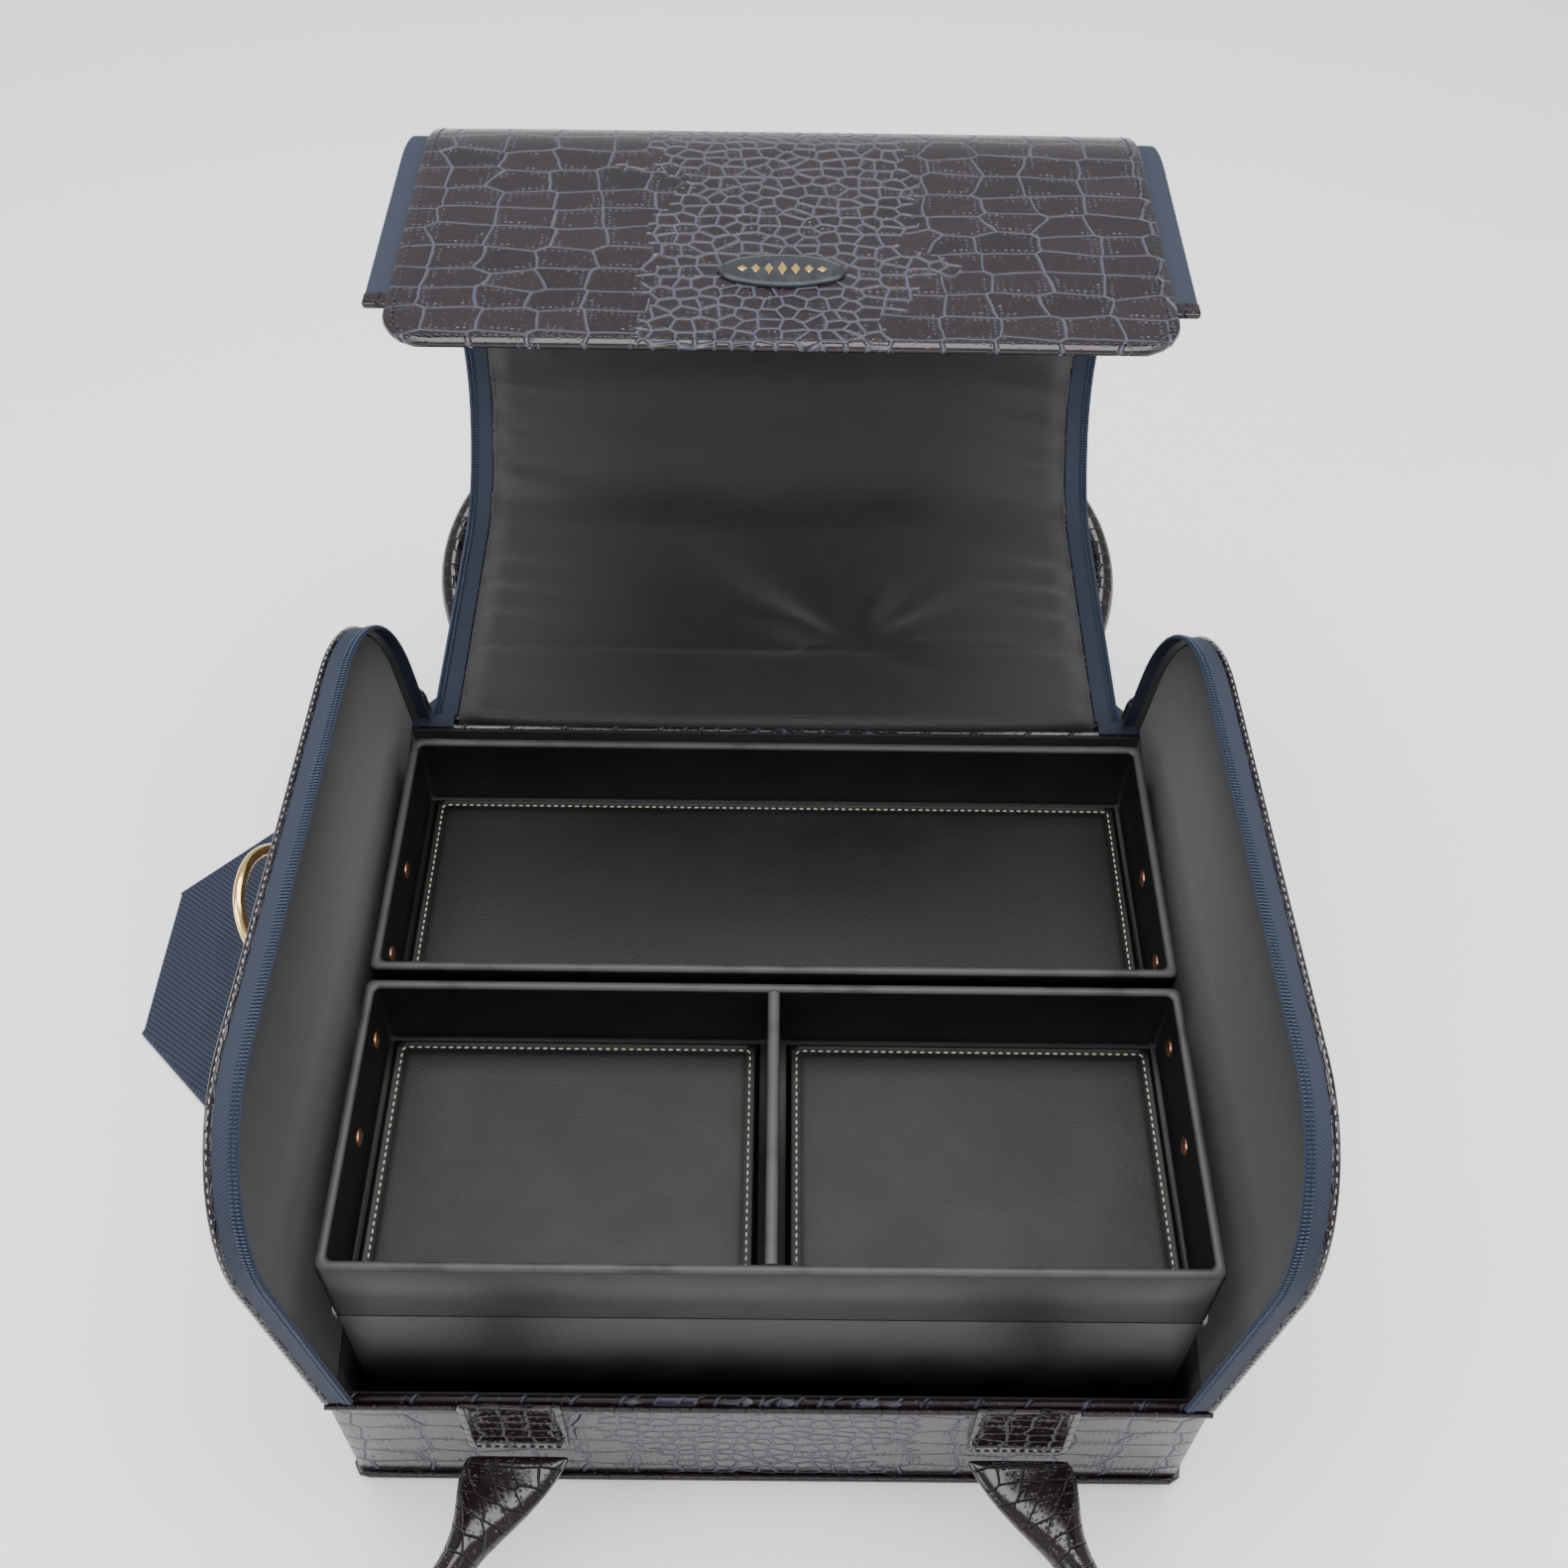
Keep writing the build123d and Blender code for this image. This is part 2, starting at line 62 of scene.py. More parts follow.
# ---- Sizes read from the frame ----
board_high, front_high, back_high = (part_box(n)[1] for n in ("base_board", "front_panel", "back_panel"))
half_width, half_depth = board_high.x, board_high.y
front_height = front_high.z
back_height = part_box("lid_panel_1")[1].z
lid_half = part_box("lid_panel_1")[1].x
tape_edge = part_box("lid_zip_1")[1].x
flap_low, flap_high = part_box("lid_tongue")
lid_thickness = flap_high.z - flap_low.z
upright_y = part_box("lid_panel_5")[1].y - lid_thickness
hinge_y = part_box("lid_panel_1")[0].y
tray_low, tray_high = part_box("front_tray")
rear_low, rear_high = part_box("rear_tray")

# ---- Sizes of the soft parts ----
wall = 4 * MM
side_height = 250 * MM
corner_radius = 60 * MM
splay = math.radians(6)
seat = 0.3 * MM
skin_rim = 1.3 * MM
lining_thickness = 0.8 * MM
side_tape = 12 * MM
coil_pitch = 1.5 * MM
tooth = (1.0 * MM, 0.52 * MM, 0.62 * MM)
stitch_pitch = 3.6 * MM
soft_bend = 60 * MM
top_corner = 63.3 * MM
tongue_corner = 20 * MM
handle_radius = 7.5 * MM
handle_flare = 47 * MM
handle_root = 3 * MM
rear_lift = math.radians(20)
front_drop = math.radians(-6.85)
webbing_width = 50 * MM
webbing = 2 * MM
strap_y = 180 * MM
slant_reach = 70 * MM
patch_half, patch_drop = 21 * MM, 44 * MM
bar_v, bar_out, bar_wrap = 198 * MM, 3.85 * MM, 3.05 * MM
rivet_head, rivet_dome, rivet_shank = 3.8 * MM, 1.2 * MM, 2.5 * MM


# ---- Shader arithmetic ----
class Wire:
    """A shader socket with arithmetic, so that a pattern reads as a formula."""

    def __init__(self, tree, socket=None):
        self.tree, self.socket = tree, socket

    def node(self, kind, settings=None, inputs=None, output=0):
        """Makes a node, sets it up, joins its inputs and gives back one of its outputs."""
        made = self.tree.nodes.new(kind)
        for name, value in (settings or {}).items():
            setattr(made, name, value)
        for name, value in (inputs or {}).items():
            if isinstance(value, Wire):
                self.tree.links.new(value.socket, made.inputs[name])
            else:
                made.inputs[name].default_value = value
        return Wire(self.tree, made.outputs[output])

    def math(self, operation, *terms):
        return self.node("ShaderNodeMath", {"operation": operation}, dict(enumerate(terms)))

    def __add__(self, other):
        return self.math("ADD", self, other)

    def __sub__(self, other):
        return self.math("SUBTRACT", self, other)

    def __mul__(self, other):
        return self.math("MULTIPLY", self, other)

    def __truediv__(self, other):
        return self.math("DIVIDE", self, other)

    def __radd__(self, other):
        return self.math("ADD", other, self)

    def __rsub__(self, other):
        return self.math("SUBTRACT", other, self)

    def __rmul__(self, other):
        return self.math("MULTIPLY", other, self)

    def __abs__(self):
        return self.math("ABSOLUTE", self)

    def wave(self):
        """Sine of this value, raised to run from 0 to 1."""
        return self.math("SINE", self) * 0.5 + 0.5

    def ramp(self, low, high, start=0.0, end=1.0):
        """Smooth step from start, where this is low, to end, where it is high."""
        return self.node("ShaderNodeMapRange", {"interpolation_type": "SMOOTHSTEP"},
                         {0: self, 1: low, 2: high, 3: start, 4: end})

    def split(self):
        """The x, y and z of a vector."""
        return [self.node("ShaderNodeSeparateXYZ", None, {0: self}, axis) for axis in range(3)]

    def join(self, x, y, z=0.0):
        return self.node("ShaderNodeCombineXYZ", None, {0: x, 1: y, 2: z})

    def noise(self, scale, detail=3.0):
        return self.node("ShaderNodeTexNoise", None, {"Vector": self, "Scale": scale, "Detail": detail})

    def cells(self, feature, randomness, output="Distance"):
        """Voronoi cells one unit wide over the flat coordinates."""
        return self.node("ShaderNodeTexVoronoi", {"voronoi_dimensions": "2D", "feature": feature},
                         {"Vector": self, "Scale": 1.0, "Randomness": randomness}, output)

    def mixed(self, first, second):
        """Colour between two, by this value."""
        return self.node("ShaderNodeMix", {"data_type": "RGBA"}, {0: self, 6: first, 7: second}, 2)


class Finish:
    """A material with one principled shader."""

    def __init__(self, name, color, roughness, **values):
        self.material = bpy.data.materials.new(name)
        self.material.use_nodes = True
        self.tree = self.material.node_tree
        self.shader = next(n for n in self.tree.nodes if n.type == "BSDF_PRINCIPLED")
        self.wire = Wire(self.tree)
        self.put("Base Color", color)
        self.put("Roughness", roughness)
        for socket, value in values.items():
            self.put(socket.replace("_", " "), value)

    def put(self, socket, value):
        if isinstance(value, Wire):
            self.tree.links.new(value.socket, self.shader.inputs[socket])
        else:
            self.shader.inputs[socket].default_value = value

    def place(self):
        """Object coordinates, in metres."""
        return self.wire.node("ShaderNodeTexCoord", output="Object")

    def skin(self):
        """The piece's own flat coordinates, in metres."""
        return self.wire.node("ShaderNodeUVMap", {"uv_map": "skin"})

    def bump(self, height, depth, strength=1.0):
        self.put("Normal", self.wire.node(
            "ShaderNodeBump", None, {"Strength": strength, "Distance": depth, "Height": height}))


def croc(name, tile, other_tile, groove, shine, tile_size=(22 * MM, 14 * MM), belly=True):
    """Embossed crocodile skin: big squared tiles at the flanks and small round pebbles down the middle."""
    skin = Finish(name, tile, shine)
    flat = skin.skin()
    u, v, _ = flat.split()
    drift = (flat.noise(28.0) - 0.5) * 0.5
    broad = skin.wire.join(u / tile_size[0] + drift, v / tile_size[1] + drift * 0.6)
    groove_gap = broad.cells("DISTANCE_TO_EDGE", 0.4)
    tone = broad.cells("F1", 0.4, "Color").split()[0]
    dome = groove_gap.ramp(0.0, 0.062)
    if belly:
        small = skin.wire.join(u / (8 * MM) + drift, v / (7 * MM) + drift)
        pebble = small.cells("DISTANCE_TO_EDGE", 0.75).ramp(0.0, 0.17)
        flank = (abs(u) + (flat.noise(21.0) - 0.5) * (130 * MM)).ramp(50 * MM, 57 * MM)
        dome = pebble * (1 - flank) + dome * flank
    creases = skin.wire.join(u * 900, v * 260).noise(0.55, 4.0)
    pits = skin.wire.join(u / (5 * MM), v / (4 * MM)).cells("F1", 1.0).ramp(0.06, 0.16)
    dots = skin.wire.join(u / (2.6 * MM), v / (2.2 * MM)).cells("F1", 0.3).ramp(0.18, 0.34, 1.0, 0.0)
    dots = dots * groove_gap.ramp(0.06, 0.10) * groove_gap.ramp(0.16, 0.22, 1.0, 0.0)
    dots = dots * flat.noise(60.0).ramp(0.48, 0.56)
    shade = (dots * 0.6).mixed(tone.mixed(tile, other_tile), groove)
    skin.put("Base Color", dome.ramp(0.15, 0.8).mixed(groove, shade))
    skin.put("Roughness", dome.ramp(0.1, 0.9, shine + 0.22, shine) + (creases - 0.5) * 0.14)
    skin.bump(dome + creases * 0.13 + pits * 0.08 - dots * 0.5, 0.9 * MM, 0.9)
    return skin.material


def woven(name, thread, other_thread, across, along, depth, roughness=0.75):
    """Cloth of ribs that lean across the piece's own coordinates."""
    cloth = Finish(name, thread, roughness)
    flat = cloth.skin()
    u, v, _ = flat.split()
    fuzz = flat.noise(900.0, 2.0)
    rib = ((u / across + v / along) * (2 * math.pi)).wave()
    weft = ((v / along - u / across) * (2 * math.pi)).wave()
    cloth.put("Base Color", (rib * 0.7 + fuzz * 0.3).mixed(thread, other_thread))
    cloth.bump(rib * 0.7 + weft * 0.3 + fuzz * 0.25, depth)
    return cloth.material


def satin(name, color, sheen_and_thread_color, shine, weave=0.5 * MM, depth=0.05 * MM):
    """Lining cloth: a fine plain weave, its colour paler along the threads and in soft patches of painted
    sheen.
    """
    cloth = Finish(name, color, shine, Specular_IOR_Level=0.5, Sheen_Weight=0.25)
    flat = cloth.skin()
    u, v, _ = flat.split()
    warp = (u * (2 * math.pi / weave)).wave()
    weft = (v * (2 * math.pi / weave)).wave()
    crush_and_sheen = flat.noise(70.0, 4.0)
    # painted sheen: the colour turns paler in soft noise patches, standing in for crushed satin catching the
    # light; warp and weft add the threads' own paler lines
    weave_and_painted_sheen = crush_and_sheen.ramp(0.3, 0.75) * 0.5 + warp * 0.25 + weft * 0.25
    cloth.put("Base Color", weave_and_painted_sheen.mixed(color, sheen_and_thread_color))
    cloth.put("Roughness", crush_and_sheen.ramp(0.3, 0.7, shine - 0.03, shine + 0.05))
    cloth.bump(warp * 0.3 + weft * 0.3 + crush_and_sheen * 0.45, depth * 4)
    return cloth.material


def leatherette(name, color, worn, shine, rim_z=None):
    """Grained black sheet that wraps the trays, paler where the rims rub."""
    sheet = Finish(name, color, shine, Specular_IOR_Level=0.28)
    place = sheet.place()
    x, y, z = place.split()
    grain = place.noise(900.0, 4.0)
    soft = place.noise(38.0, 3.0)
    rub = soft.ramp(0.3, 0.8) * 0.4
    if rim_z is not None:
        rub = z.ramp(rim_z - 1.6 * MM, rim_z - 0.2 * MM) * soft.ramp(0.2, 0.55, 0.35, 1.0) + rub * 0.06
    streak = sheet.wire.join(x * 900, y * 900, z * 18).noise(1.0, 2.0).ramp(0.62, 0.8)
    sheet.put("Base Color", (rub + streak * 0.1).mixed(color, worn))
    sheet.put("Roughness", soft.ramp(0.3, 0.7, shine - 0.02, shine + 0.03))
    sheet.bump(grain + soft * 0.15, 0.12 * MM, 0.7)
    return sheet.material


def metal(name, color, tarnish, roughness, scratch=220.0, metallic=1.0):
    """Plated metal: fine scratches one way and faint tarnish."""
    plate = Finish(name, color, roughness, Metallic=metallic)
    place = plate.place()
    x, y, z = place.split()
    lines = plate.wire.join(x * scratch * 8, y * scratch, z * scratch * 3).noise(1.0, 3.0)
    cloud = place.noise(140.0, 3.0)
    plate.put("Base Color", cloud.ramp(0.4, 0.75).mixed(color, tarnish))
    plate.put("Roughness", lines.ramp(0.3, 0.7, roughness, roughness + 0.14))
    plate.bump(lines, 0.02 * MM, 0.5)
    return plate.material


def thread(name, color, other, roughness=0.6):
    """Twisted thread or moulded nylon teeth."""
    line = Finish(name, color, roughness)
    place = line.place()
    twist = place.noise(2600.0, 2.0)
    line.put("Base Color", twist.ramp(0.3, 0.7).mixed(color, other))
    line.bump(twist, 0.05 * MM)
    return line.material


plum, light_plum = (0.0085, 0.0050, 0.0068, 1), (0.0150, 0.0090, 0.0115, 1)
ash_blue = (0.052, 0.054, 0.076, 1)
croc_skin = croc("croc_skin", plum, light_plum, ash_blue, 0.21)
croc_side = croc("croc_side", plum, light_plum, ash_blue, 0.21, belly=False)
croc_handle = croc("croc_handle", (0.0060, 0.0026, 0.0046, 1), (0.0100, 0.0042, 0.0070, 1),
                   (0.014, 0.011, 0.017, 1), 0.12, (10 * MM, 7.5 * MM), belly=False)
# each lining's second colour is the paler tone of its painted sheen and of its threads
lid_satin = satin("lid_satin", (0.0030, 0.0030, 0.0036, 1), (0.0066, 0.0066, 0.0078, 1), 0.37)
side_cloth = satin("side_cloth", (0.0028, 0.0032, 0.0034, 1), (0.0055, 0.0060, 0.0062, 1), 0.72, 0.8 * MM)
zip_tape = woven("zip_tape", (0.006, 0.010, 0.023, 1), (0.015, 0.025, 0.048, 1),
                 2.2 * MM, 1.4 * MM, 0.16 * MM)
zip_teeth = thread("zip_teeth", (0.016, 0.026, 0.052, 1), (0.034, 0.051, 0.092, 1), 0.36)
strap_webbing = woven("strap_webbing", (0.005, 0.008, 0.020, 1), (0.026, 0.036, 0.068, 1),
                      4.2 * MM, 3.0 * MM, 0.8 * MM)
tray_sheet = leatherette("tray_sheet", (0.0035, 0.0036, 0.0037, 1), (0.050, 0.050, 0.052, 1), 0.44,
                         tray_high.z)
box_sheet = leatherette("box_sheet", (0.0045, 0.0045, 0.0047, 1), (0.014, 0.014, 0.015, 1), 0.40)
pad_sheet = leatherette("pad_sheet", (0.0030, 0.0032, 0.0032, 1), (0.0065, 0.0068, 0.0068, 1), 0.47)
copper = metal("copper_rivet", (0.78, 0.36, 0.22, 1), (0.45, 0.20, 0.13, 1), 0.22)
gold = metal("polished_gold", (0.93, 0.66, 0.28, 1), (0.80, 0.52, 0.20, 1), 0.10, 90.0)
zip_metal = metal("zip_metal", (0.42, 0.36, 0.27, 1), (0.22, 0.19, 0.15, 1), 0.26)
arm_steel = metal("arm_steel", (0.52, 0.53, 0.55, 1), (0.36, 0.37, 0.39, 1), 0.30)
cream_thread = thread("cream_thread", (0.62, 0.55, 0.42, 1), (0.46, 0.40, 0.30, 1))
dark_thread = thread("dark_thread", (0.010, 0.010, 0.014, 1), (0.035, 0.035, 0.045, 1))
worn_thread = thread("worn_thread", (0.20, 0.19, 0.21, 1), (0.36, 0.35, 0.36, 1))
badge_enamel = metal("badge_enamel", (0.026, 0.029, 0.034, 1), (0.042, 0.046, 0.054, 1), 0.20, 60.0, 0.3)


# ---- Mesh building ----
def made(name, bm, material, body=None, slot=None, stands_for=(), crease=40):
    """Turns a bmesh into a piece: smooth faces with sharp creases, its material and the body it rides on."""
    mesh = bpy.data.meshes.new(name)
    bm.to_mesh(mesh)
    bm.free()
    mesh.shade_smooth()
    mesh.set_sharp_from_angle(angle=math.radians(crease))
    mesh.materials.append(material)
    piece = bpy.data.objects.new(name, mesh)
    bpy.context.scene.collection.objects.link(piece)
    if body:
        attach(piece, body)
    if stands_for:
        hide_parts(*stands_for)
    return piece


def outward(bm):
    bmesh.ops.recalc_face_normals(bm, faces=bm.faces)
    return bm


def rounded(corners, radii, closed=False, steps=8):
    """Flat points through the corners, each corner turned with its radius."""
    points = [Vector(c) for c in corners]
    result = []
    for number, (corner, radius) in enumerate(zip(points, radii)):
        if not closed and number in (0, len(points) - 1):
            result.append(corner)
            continue
        back = (points[number - 1] - corner).normalized()
        ahead = (points[(number + 1) % len(points)] - corner).normalized()
        half = math.acos(max(-1, min(1, back.dot(ahead)))) / 2
        if radius <= 0 or half > math.pi / 2 - 1e-4:
            result.append(corner)
            continue
        centre = corner + (back + ahead).normalized() * (radius / math.sin(half))
        start, end = corner + back * (radius / math.tan(half)), corner + ahead * (radius / math.tan(half))
        first, last = start - centre, end - centre
        turn = math.atan2(first.x * last.y - first.y * last.x, first.dot(last))
        for step in range(steps + 1):
            angle = turn * step / steps
            cos, sin = math.cos(angle), math.sin(angle)
            result.append(centre + Vector((first.x * cos - first.y * sin, first.x * sin + first.y * cos)))
    return result


class Path:
    """A measured line through points of any dimension, with its heading at each place."""

    def __init__(self, points):
        self.points = [p for p, q in zip(points, points[1:]) if (q - p).length > 1e-7] + [points[-1]]
        self.marks = [0.0]
        for p, q in zip(self.points, self.points[1:]):
            self.marks.append(self.marks[-1] + (q - p).length)
        self.length = self.marks[-1]
        spans = [(q - p).normalized() for p, q in zip(self.points, self.points[1:])]
        self.headings = [spans[0]] + [(a + b).normalized() for a, b in zip(spans, spans[1:])] + [spans[-1]]

    def at(self, along):
        """Point and heading at a length along the line."""
        number = min(max(bisect.bisect_right(self.marks, along) - 1, 0), len(self.points) - 2)
        share = (along - self.marks[number]) / (self.marks[number + 1] - self.marks[number])
        point = self.points[number].lerp(self.points[number + 1], share)
        share = min(max(share, 0), 1)
        return point, self.headings[number].lerp(self.headings[number + 1], share).normalized()

    def near(self, target):
        """Length along the line at its point nearest to the target."""
        tries = [self.length * n / 2000 for n in range(2001)]
        return min(tries, key=lambda along: (self.at(along)[0] - target).length)

    def steps(self, start, end, pitch):
        """Even lengths from start to end, about a pitch apart."""
        count = max(1, round((end - start) / pitch))
        return [start + (end - start) * n / count for n in range(count + 1)]


def blank():
    """A bmesh with room for a flat pattern."""
    bm = bmesh.new()
    bm.loops.layers.uv.new("skin")
    return bm


def walled(bm, rings, first_way=-1):
    """Joins closed rings of points by walls, closes both ends and gives back the end faces."""
    for near, far in zip(rings, rings[1:]):
        for number in range(len(near)):
            after = (number + 1) % len(near)
            bm.faces.new((near[number], near[after], far[after], far[number]))
    return [bm.faces.new(rings[0][::first_way]), bm.faces.new(rings[-1])]


def unrolled(bm, flat):
    """Turns all faces outwards and lays every corner in the flat pattern, by a function of its vertex."""
    skin = bm.loops.layers.uv["skin"]
    for face in outward(bm).faces:
        for loop in face.loops:
            loop[skin].uv = flat(loop.vert)
    return bm


def sweep(stations, section, across=None, caps=True, along=None):
    """Carries a closed section of (a, b) points, or a list of one for each station, along (origin, a, b)."""
    bm = blank()
    shapes = section if isinstance(section[0], list) else [section] * len(stations)
    rings = [[bm.verts.new(origin + a * p + b * q) for p, q in shape]
             for (origin, a, b), shape in zip(stations, shapes)]
    if along is None:
        along = Path([origin for origin, _, _ in stations]).marks
    flat = {}
    for ring, shape, v in zip(rings, shapes, along):
        around = 0.0
        for number, vert in enumerate(ring):
            p = Vector(shape[number])
            around += (p - Vector(shape[number - 1])).length if number else 0.0
            flat[vert] = (across(*shape[number]) if across else around, v)
    ends = walled(bm, rings, 1)
    unrolled(bm, flat.get)
    if not caps:
        bmesh.ops.delete(bm, geom=ends, context="FACES_ONLY")
    return bm


def joined(parts):
    """Several bmeshes as one."""
    whole = parts[0]
    for part in parts[1:]:
        mesh = bpy.data.meshes.new("part")
        part.to_mesh(mesh)
        part.free()
        whole.from_mesh(mesh)
        bpy.data.meshes.remove(mesh)
    return whole


def facing(origin, right, up):
    """Matrix that stands a flat drawing at origin, with its x to the right and its y upwards."""
    out = right.cross(up)
    return Matrix.Translation(origin) @ Matrix((right, up, out)).transposed().to_4x4()


def slab(outline, near, far, rim=skin_rim, swell=0.0, inset=5 * MM):
    """A soft slab drawn flat: its outline from near to far, both rims rounded and its outer face swollen."""
    bm = blank()
    spans = [(min(p[axis] for p in outline), max(p[axis] for p in outline)) for axis in (0, 1)]
    centre = [(a + b) / 2 for a, b in spans]
    reach = [(b - a) / 2 for a, b in spans]
    rim = min(rim, (far - near) / 2.1)
    levels = [(rim, near), (0.3 * rim, near + 0.3 * rim), (0, near + rim), (0, far - rim),
              (0.3 * rim, far - 0.3 * rim), (rim, far)]
    if swell:
        levels += [(rim + inset * 0.4, far + swell * 0.6), (rim + inset, far + swell * 0.9),
                   (rim + inset * 2, far + swell)]
    rings = []
    for back, level in levels:
        scale = [max(0.2, 1 - back / size) for size in reach]
        rings.append([bm.verts.new((centre[0] + (p[0] - centre[0]) * scale[0],
                                    centre[1] + (p[1] - centre[1]) * scale[1], level)) for p in outline])
    walled(bm, rings)
    return unrolled(bm, lambda vert: (vert.co.x + vert.co.z, vert.co.y + vert.co.z))


def stood(bm, matrix):
    bmesh.ops.transform(bm, matrix=matrix, verts=bm.verts)
    return bm


def rectangle(low_u, low_v, high_u, high_v, radius=0.0):
    corners = [(low_u, low_v), (high_u, low_v), (high_u, high_v), (low_u, high_v)]
    return rounded(corners, [radius] * 4, closed=True, steps=5)


def bead_at(bm, point, heading, out, size):
    """A small rounded bead, such as a stitch or a tooth, lying along a heading."""
    side = heading.cross(out).normalized()
    turn = Matrix((heading * size[0], side * size[1], out * size[2])).transposed().to_4x4()
    bmesh.ops.create_icosphere(bm, subdivisions=1, radius=1.0, matrix=Matrix.Translation(point) @ turn)


def stitches(name, runs, material, body, size=(1.35 * MM, 0.36 * MM, 0.34 * MM), pitch=stitch_pitch):
    """Rows of stitches: each run is a list of points and the direction that faces out of the cloth."""
    bm = bmesh.new()
    for points, out in runs:
        row = Path(points)
        for along in row.steps(pitch / 2, row.length - pitch / 2, pitch):
            point, heading = row.at(along)
            bead_at(bm, point, heading, out, size)
    return made(name, bm, material, body)


def cord_round(radius, count=10, squash=1.0):
    """A round section, or an oval one."""
    return [(radius * math.cos(a), radius * squash * math.sin(a))
            for a in (2 * math.pi * n / count for n in range(count))]


def loop_stations(points):
    """Stations round a closed level line, for a bead to follow."""
    stations = []
    for before, point, after in zip(points[-1:] + points, points, points[1:] + points[:1]):
        stations.append((point, (after - before).normalized().cross(Z), Z))
    return stations + stations[:1]


def ring_of(outline, level, matrix):
    """Closed run of points at one level of a flat drawing, in the frame."""
    points = [matrix @ Vector((p[0], p[1], level)) for p in outline]
    return points + points[:1]


# ---- Lid: one skin from the case's back over the folds to the tongue ----
flap_end = flap_high.y
tongue_tip = flap_low.y
fold_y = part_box("lid_panel_4")[0].y
rise_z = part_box("lid_panel_5")[0].z
lid_line = Path(rounded(
    [(half_depth, back_height - 20 * MM), (half_depth, back_height), (fold_y, back_height),
     (upright_y, rise_z), (upright_y, flap_low.z), (tongue_tip, flap_low.z)],
    [0, 4.3 * MM, soft_bend, soft_bend, top_corner, 0], steps=14))
lid_end = lid_line.length
zip_start = lid_line.near(Vector((hinge_y + 1 * MM, back_height)))
zip_end = lid_end - (flap_end - tongue_tip)
seam_along = lid_line.near(Vector((half_depth + 48 * MM, back_height)))
pinch_x = 40 * MM


def lid_station(along):
    """Where the lid's inner face lies: a point, the across axis and the axis out through the croc skin."""
    point, heading = lid_line.at(along)
    return Vector((0, point.x, point.y)), X, Vector((0, heading.y, -heading.x))


def lid_half_at(along):
    """Half the lid's width, which rounds off at the tongue."""
    into = along - (lid_end - tongue_corner)
    if into <= 0:
        return lid_half
    return lid_half - tongue_corner + math.sqrt(max(tongue_corner ** 2 - into ** 2, 0))


def band(half, near, far, columns, swell=0.0, rim=1.4 * MM):
    """Section of a flat band: columns across, with round edges."""
    flat = half - rim
    middle, reach = (near + far) / 2, (far - near) / 2
    outer = [(-flat + 2 * flat * n / columns) for n in range(columns + 1)]
    edge = [math.pi / 2 - math.pi * n / 4 for n in range(1, 4)]
    section = [(x, far + swell * (1 - abs(x / half) ** 6)) for x in outer]
    section += [(flat + rim * math.cos(a), middle + reach * math.sin(a)) for a in edge]
    section += [(x, near) for x in reversed(outer)]
    section += [(-flat - rim * math.cos(a), middle - reach * math.sin(a)) for a in edge]
    return section


def pucker(x, along):
    """How far the lid's lining stands off its board: folds fanned from a pinch, and gathers at the seams."""
    rise, aside = along - seam_along, x - pinch_x
    edge = min(1.0, max(0.0, (abs(x) - 84 * MM) / (64 * MM)))
    gather = math.sin(along * 260 + 1.6 * math.sin(along * 61) + x * 45) * edge ** 2 * 1.5 * MM
    reach = math.hypot(aside, rise)
    fan = math.atan2(rise, aside)
    over = 1.0 if rise > 0 else math.exp(rise / (9 * MM))
    grow = min(1.0, max(0.0, (reach - 8 * MM) / (30 * MM)))
    fade = grow * grow * (3 - 2 * grow) * math.exp(-(reach / (125 * MM)) ** 2)
    folds = (math.sin(fan * 5 + 0.6) + 0.55 * math.sin(fan * 9 + 2.1 + reach * 14)) * fade * over * 2.3 * MM
    dimple = math.exp(-(reach / (16 * MM)) ** 2) * 1.4 * MM
    seam = math.exp(-(rise / (1.8 * MM)) ** 2) * 0.9 * MM
    loose = (math.sin(x * 26 + along * 9) + math.sin(x * 11 - along * 31)) * 0.4 * MM
    loft = min(1.0, max(0.0, (lid_end - along - front_height) / (30 * MM)))
    return max(0.1 * MM, 3.0 * MM + gather + folds + loose - dimple - seam) * loft


def skin_section(along, last):
    """The croc panel's section, thin at the case's back and, on the last stretch, rounded off at the tip."""
    tip = max(0.0, 1 - (lid_end - along) / (2 * MM)) if last else 0.0
    shrink = skin_rim * tip ** 2
    strip = 3 * MM
    far = strip + (lid_thickness - strip) * min(1.0, along / (24 * MM))
    return band(lid_half_at(along), lining_thickness + shrink, far - shrink, 40, 0.5 * MM * (1 - tip))


def lining_section(along):
    """The lining's section, with its puckers on the inside."""
    half = lid_half_at(along + 4 * MM) - 3 * MM
    flat = [-half + 2 * half * k / 96 for k in range(97)]
    inner = [(x, -pucker(x, along) * min(1.0, (half - abs(x)) / (9 * MM)) + 0.2 * MM) for x in flat]
    return inner + [(x, lining_thickness) for x in reversed(flat)]


def own_x(x, depth):
    """Across a band the flat pattern follows the band's own x."""
    return x


def lid_piece(kind, number, bm, material, slot, bodies, nodes):
    """A stretch of the lid, riding on one body, or fixed where it is built when it spans two over a fold."""
    piece = made(f"lid_{kind}_{number}", bm, material, None, slot, nodes)
    if len(bodies) == 1:
        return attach(piece, bodies[0])
    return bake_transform(piece)


folds = [Vector((hinge_y, back_height))]
folds += [Vector((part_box(f"lid_panel_{n}")[0].y, back_height)) for n in (2, 3, 4)]
folds.append(Vector((upright_y, rise_z)))
fold_marks = [lid_line.near(f) for f in folds]
cuts = [0.0] + [(a + b) / 2 for a, b in zip(fold_marks, fold_marks[1:])]
cuts += [fold_marks[-1] + 40 * MM, lid_end]
bend_reach = 14 * MM
zip_row_reach = tape_edge - 1.1 * MM

lid_nodes = {0: ["lid_strip", "lid_panel_1"], 5: ["lid_panel_5", "lid_tongue"]}
lid_bodies = ["case"] + [f"lid_{n}" for n in range(1, 6)]

